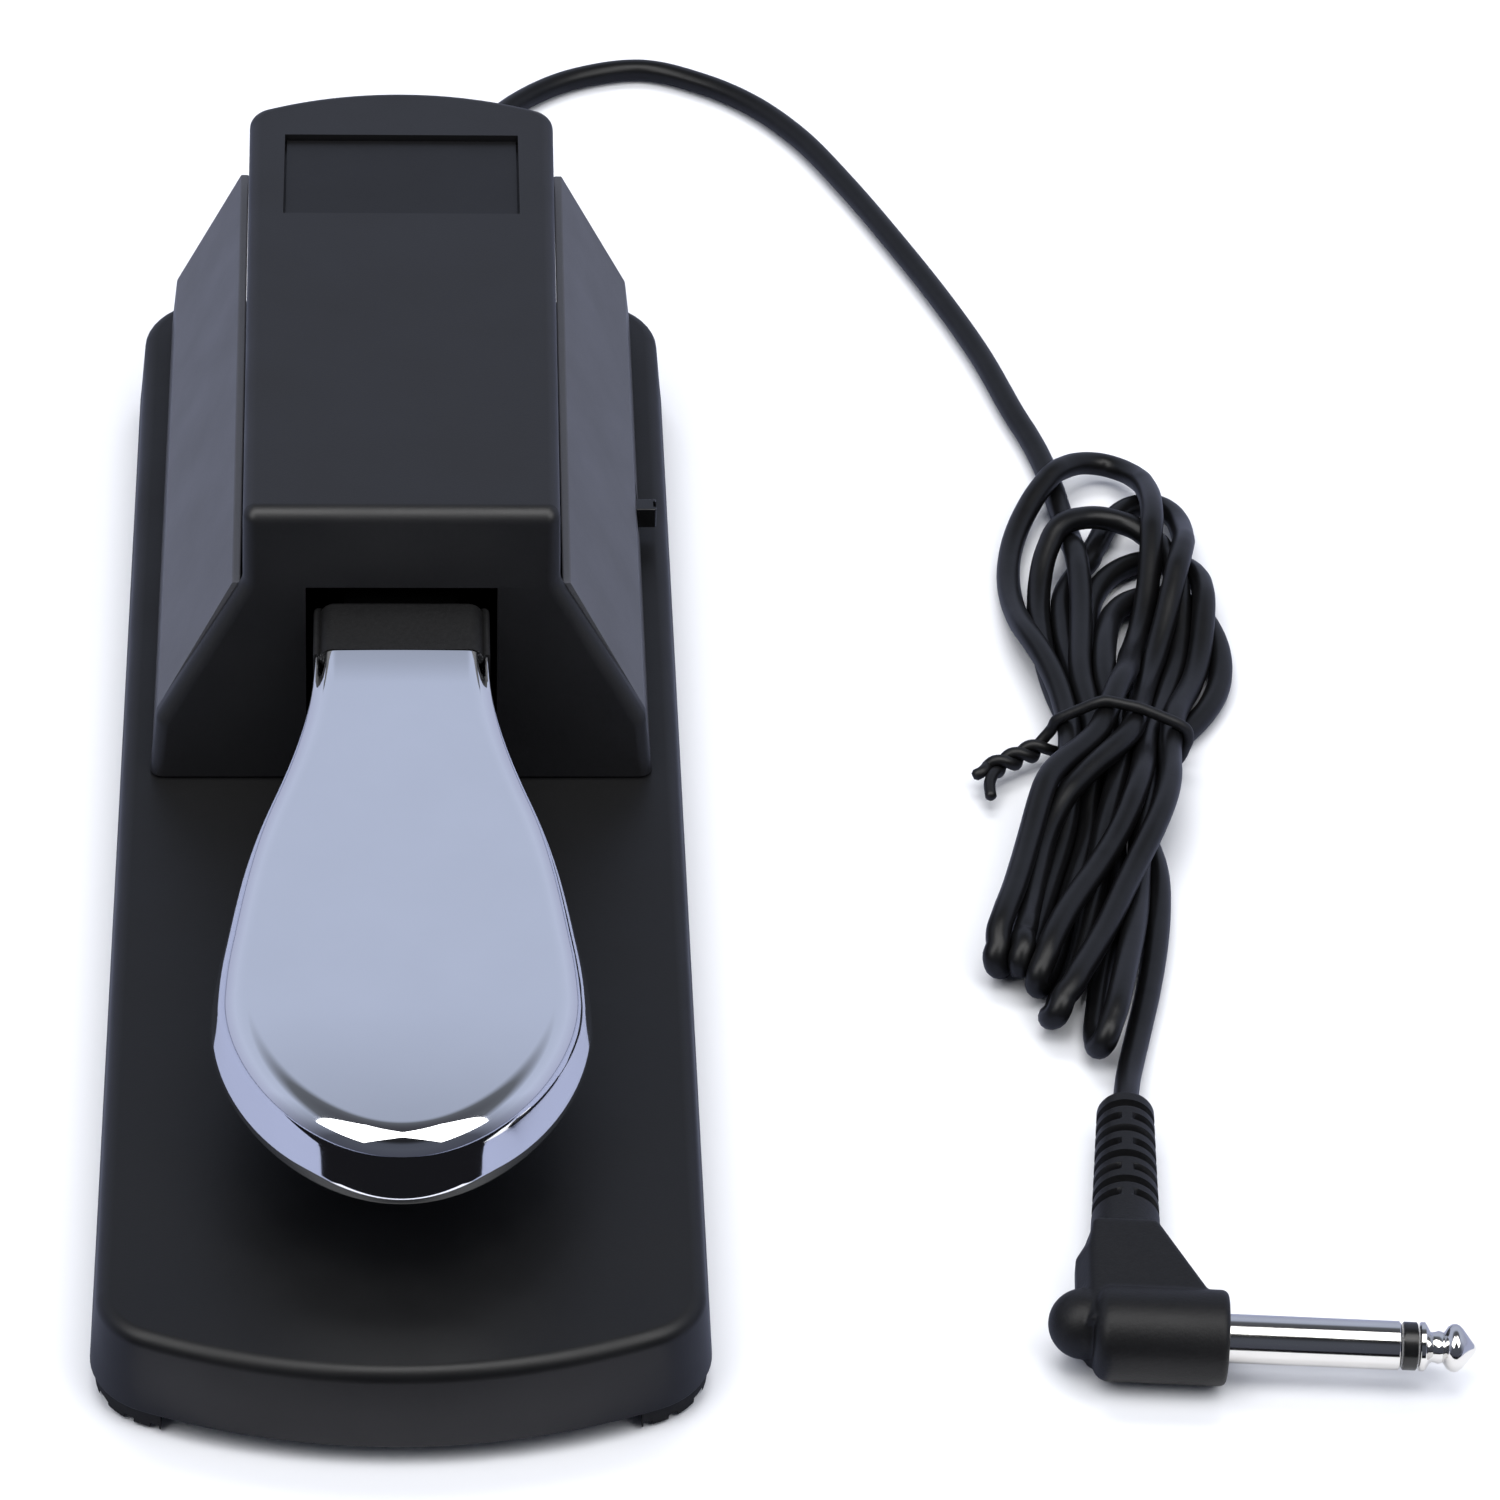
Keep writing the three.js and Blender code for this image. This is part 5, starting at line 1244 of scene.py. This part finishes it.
def plug_jack():
    """Sleeve, insulating ring and pointed tip."""
    parts = {
        "jack_sleeve": ("plug_sleeve", "plug_metal", [
            (0, -0.8), (3.175, -0.8), (3.175, 21.35), (2.95, 21.6), (0, 21.6)]),
        "jack_ring": ("plug_insulator", "plug_ring", [
            (0, 21.85), (2.95, 21.85), (3.12, 22.0), (3.12, 23.6), (2.95, 23.75), (0, 23.75)]),
        "jack_tip": ("plug_tip", "plug_metal", [
            (0, 23.95), (2.95, 23.95), (3.17, 24.15), (3.17, 24.7), (2.95, 24.95), (2.2, 25.35),
            (1.95, 25.7), (2.0, 26.1), (2.15, 26.5), (2.05, 26.9), (1.95, 27.1), (2.2, 27.3),
            (2.75, 27.7), (3.05, 28.2), (3.12, 28.7), (3.0, 29.1), (2.6, 29.6), (1.7, 30.35),
            (0.9, 31.0), (0.45, 31.3), (0.2, 31.38), (0, 31.4)]),
    }
    pieces = []
    for name, (node, finish, profile) in parts.items():
        placed = [(r, JACK_START + x) for r, x in profile]
        pieces.append(piece(revolve(name, placed, PLUG_PLACE, PLUG_AXIS, 72), finish, replaces=[node]))
    return pieces


# ---------------------------------------------------------------- nodes that keep their CAD shape

# Finish and edge bevel of each, in millimetres.
KEPT = {
    "bottom_plate": ("plate_paint", 0.15), "nameplate": ("nameplate_plastic", 0.15),
    "axle_clip_left": ("inner_steel", 0.08), "axle_clip_right": ("inner_steel", 0.08),
    "pivot_bracket": ("inner_steel", 0.25), "microswitch_body": ("switch_plastic", 0.3),
    "microswitch_lever": ("inner_steel", 0.08), "microswitch_plunger": ("nylon", 0.25),
    "polarity_switch_body": ("inner_steel", 0.3), "polarity_board": ("board", 0.1),
    "cord_clamp": ("clamp_plastic", 0.15), "inner_lead": ("cable_jacket", 0),
}


def finish_kept_nodes():
    """Materials and small edge bevels on the CAD shapes that stay as they are."""
    for node, (finish, edge) in KEPT.items():
        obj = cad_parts[node]
        obj.data.materials.clear()
        obj.data.materials.append(MATERIALS[finish])
        if edge:
            step = obj.modifiers.new("bevel", "BEVEL")
            step.width, step.segments, step.limit_method = edge * MM, 2, "ANGLE"
            step.angle_limit = math.radians(50)


# ---------------------------------------------------------------- floor and light


def make_floor():
    """A pale plain floor just under the feet."""
    bpy.ops.mesh.primitive_plane_add(size=8, location=(0, 0, -0.0002))
    floor = bpy.context.object
    floor.name = "floor"
    made = bpy.data.materials.new("floor")
    made.use_nodes = True
    shader = made.node_tree.nodes["Principled BSDF"]
    shader.inputs["Base Color"].default_value = (0.86, 0.87, 0.90, 1)
    shader.inputs["Roughness"].default_value = 0.6
    shader.inputs["Specular IOR Level"].default_value = 0.2
    floor.data.materials.append(made)


def softbox(name, place, target, size, power):
    """A white rectangular light at place, facing target."""
    data = bpy.data.lights.new(name, "AREA")
    data.shape, data.size, data.size_y = "RECTANGLE", *size
    data.energy = power
    light = bpy.data.objects.new(name, data)
    SCENE.collection.objects.link(light)
    light.location = place
    light.rotation_euler = (Vector(target) - Vector(place)).to_track_quat("-Z", "Y").to_euler()
    return light


def make_world():
    """A studio: pale at the horizon, blue-grey above it, dark overhead and behind the camera."""
    world = bpy.data.worlds.new("studio")
    SCENE.world = world
    world.use_nodes = True
    nodes, links = world.node_tree.nodes, world.node_tree.links
    place = nodes.new("ShaderNodeTexCoord")
    split = nodes.new("ShaderNodeSeparateXYZ")
    ramp = nodes.new("ShaderNodeValToRGB")
    stops = [(0.0, (0.42, 0.45, 0.60)), (0.25, (0.46, 0.50, 0.65)), (0.45, (0.50, 0.55, 0.70)),
             (0.68, (0.46, 0.51, 0.65)), (0.80, (0.12, 0.13, 0.15)), (1.0, (0.05, 0.05, 0.06))]
    for position, _ in stops[1:-1]:
        ramp.color_ramp.elements.new(position)
    for element, (position, colour) in zip(ramp.color_ramp.elements, stops):
        element.position = position
        element.color = (*colour, 1)
    behind = nodes.new("ShaderNodeMapRange")
    behind.inputs["From Min"].default_value, behind.inputs["From Max"].default_value = -0.5, 0.1
    behind.inputs["To Min"].default_value, behind.inputs["To Max"].default_value = 0.16, 1.0
    links.new(place.outputs["Generated"], split.inputs["Vector"])
    links.new(split.outputs["Z"], ramp.inputs["Fac"])
    links.new(split.outputs["Y"], behind.inputs["Value"])
    links.new(ramp.outputs["Color"], nodes["Background"].inputs["Color"])
    links.new(behind.outputs["Result"], nodes["Background"].inputs["Strength"])


def make_lights():
    """Two softboxes in front of the pedal, and one behind it that mirrors don't see."""
    softbox("key", (-0.49, -0.42, 1.15), (0, -0.05, 0), (0.80, 1.3), 11)
    softbox("fill", (0.52, -0.42, 1.15), (0.03, -0.05, 0), (0.80, 1.3), 11)
    overhead = softbox("overhead", (0.0, 0.75, 1.5), (0, 0.05, 0), (1.2, 0.5), 12)
    overhead.visible_glossy = False


def seen_in_mirrors(name, place, size, colour):
    """A sheet on the floor that the camera doesn't see, only the reflections in the object: its colour is a
    painted reflection.
    """
    bpy.ops.mesh.primitive_plane_add(size=1, location=place)
    sheet = bpy.context.object
    sheet.name = name
    sheet.scale = (*size, 1)
    made = bpy.data.materials.new(name)
    made.use_nodes = True
    shader = made.node_tree.nodes["Principled BSDF"]
    shader.inputs["Base Color"].default_value = (*colour, 1)
    shader.inputs["Specular IOR Level"].default_value = 0
    sheet.data.materials.append(made)
    sheet.visible_camera = sheet.visible_diffuse = sheet.visible_shadow = False


# Name, place, size and colour of each sheet, each one a painted reflection: a blue-grey sheet over the whole
# floor, a dark one in front of the toe that paints a dark reflection into its wall, and pale ones just ahead
# of the base and under the plug.
MIRROR_SHEETS = (
    # painted reflection: blue-grey, seen in the pedal's walls and the wings instead of the pale floor
    ("painted_blue_reflection", (0, 0, -0.0001), (8, 8), (0.30, 0.325, 0.44)),
    # painted dark reflection: it makes the chrome toe's wall look black
    ("painted_dark_reflection", (0, -2.065, 0), (0.80, 3.87), (0.006, 0.006, 0.007)),
    # painted pale reflections: a bright line in the base's front skirt, and light in the plug
    ("painted_pale_reflection", (0, -0.130, 0.0001), (0.10, 0.018), (0.80, 0.80, 0.88)),
    ("plug_painted_reflection", (0.125, -0.113, 0.0001), (0.07, 0.05), (0.80, 0.80, 0.82)),
)

SCENE.view_settings.view_transform = "Standard"

make_floor()
make_world()
make_lights()
for sheet in MIRROR_SHEETS:
    seen_in_mirrors(*sheet)
cord = lay_cord()
base_shell()
feet()
upper_housing()
wing(-1)
wing(1)
polarity_knob()
pedal_shell()
pedal_arm()
pivot()
return_spring()
screws()
cord_pieces = [cord_boot(), cable_tie(), plug_relief(), plug_body(), *plug_jack()]
finish_kept_nodes()
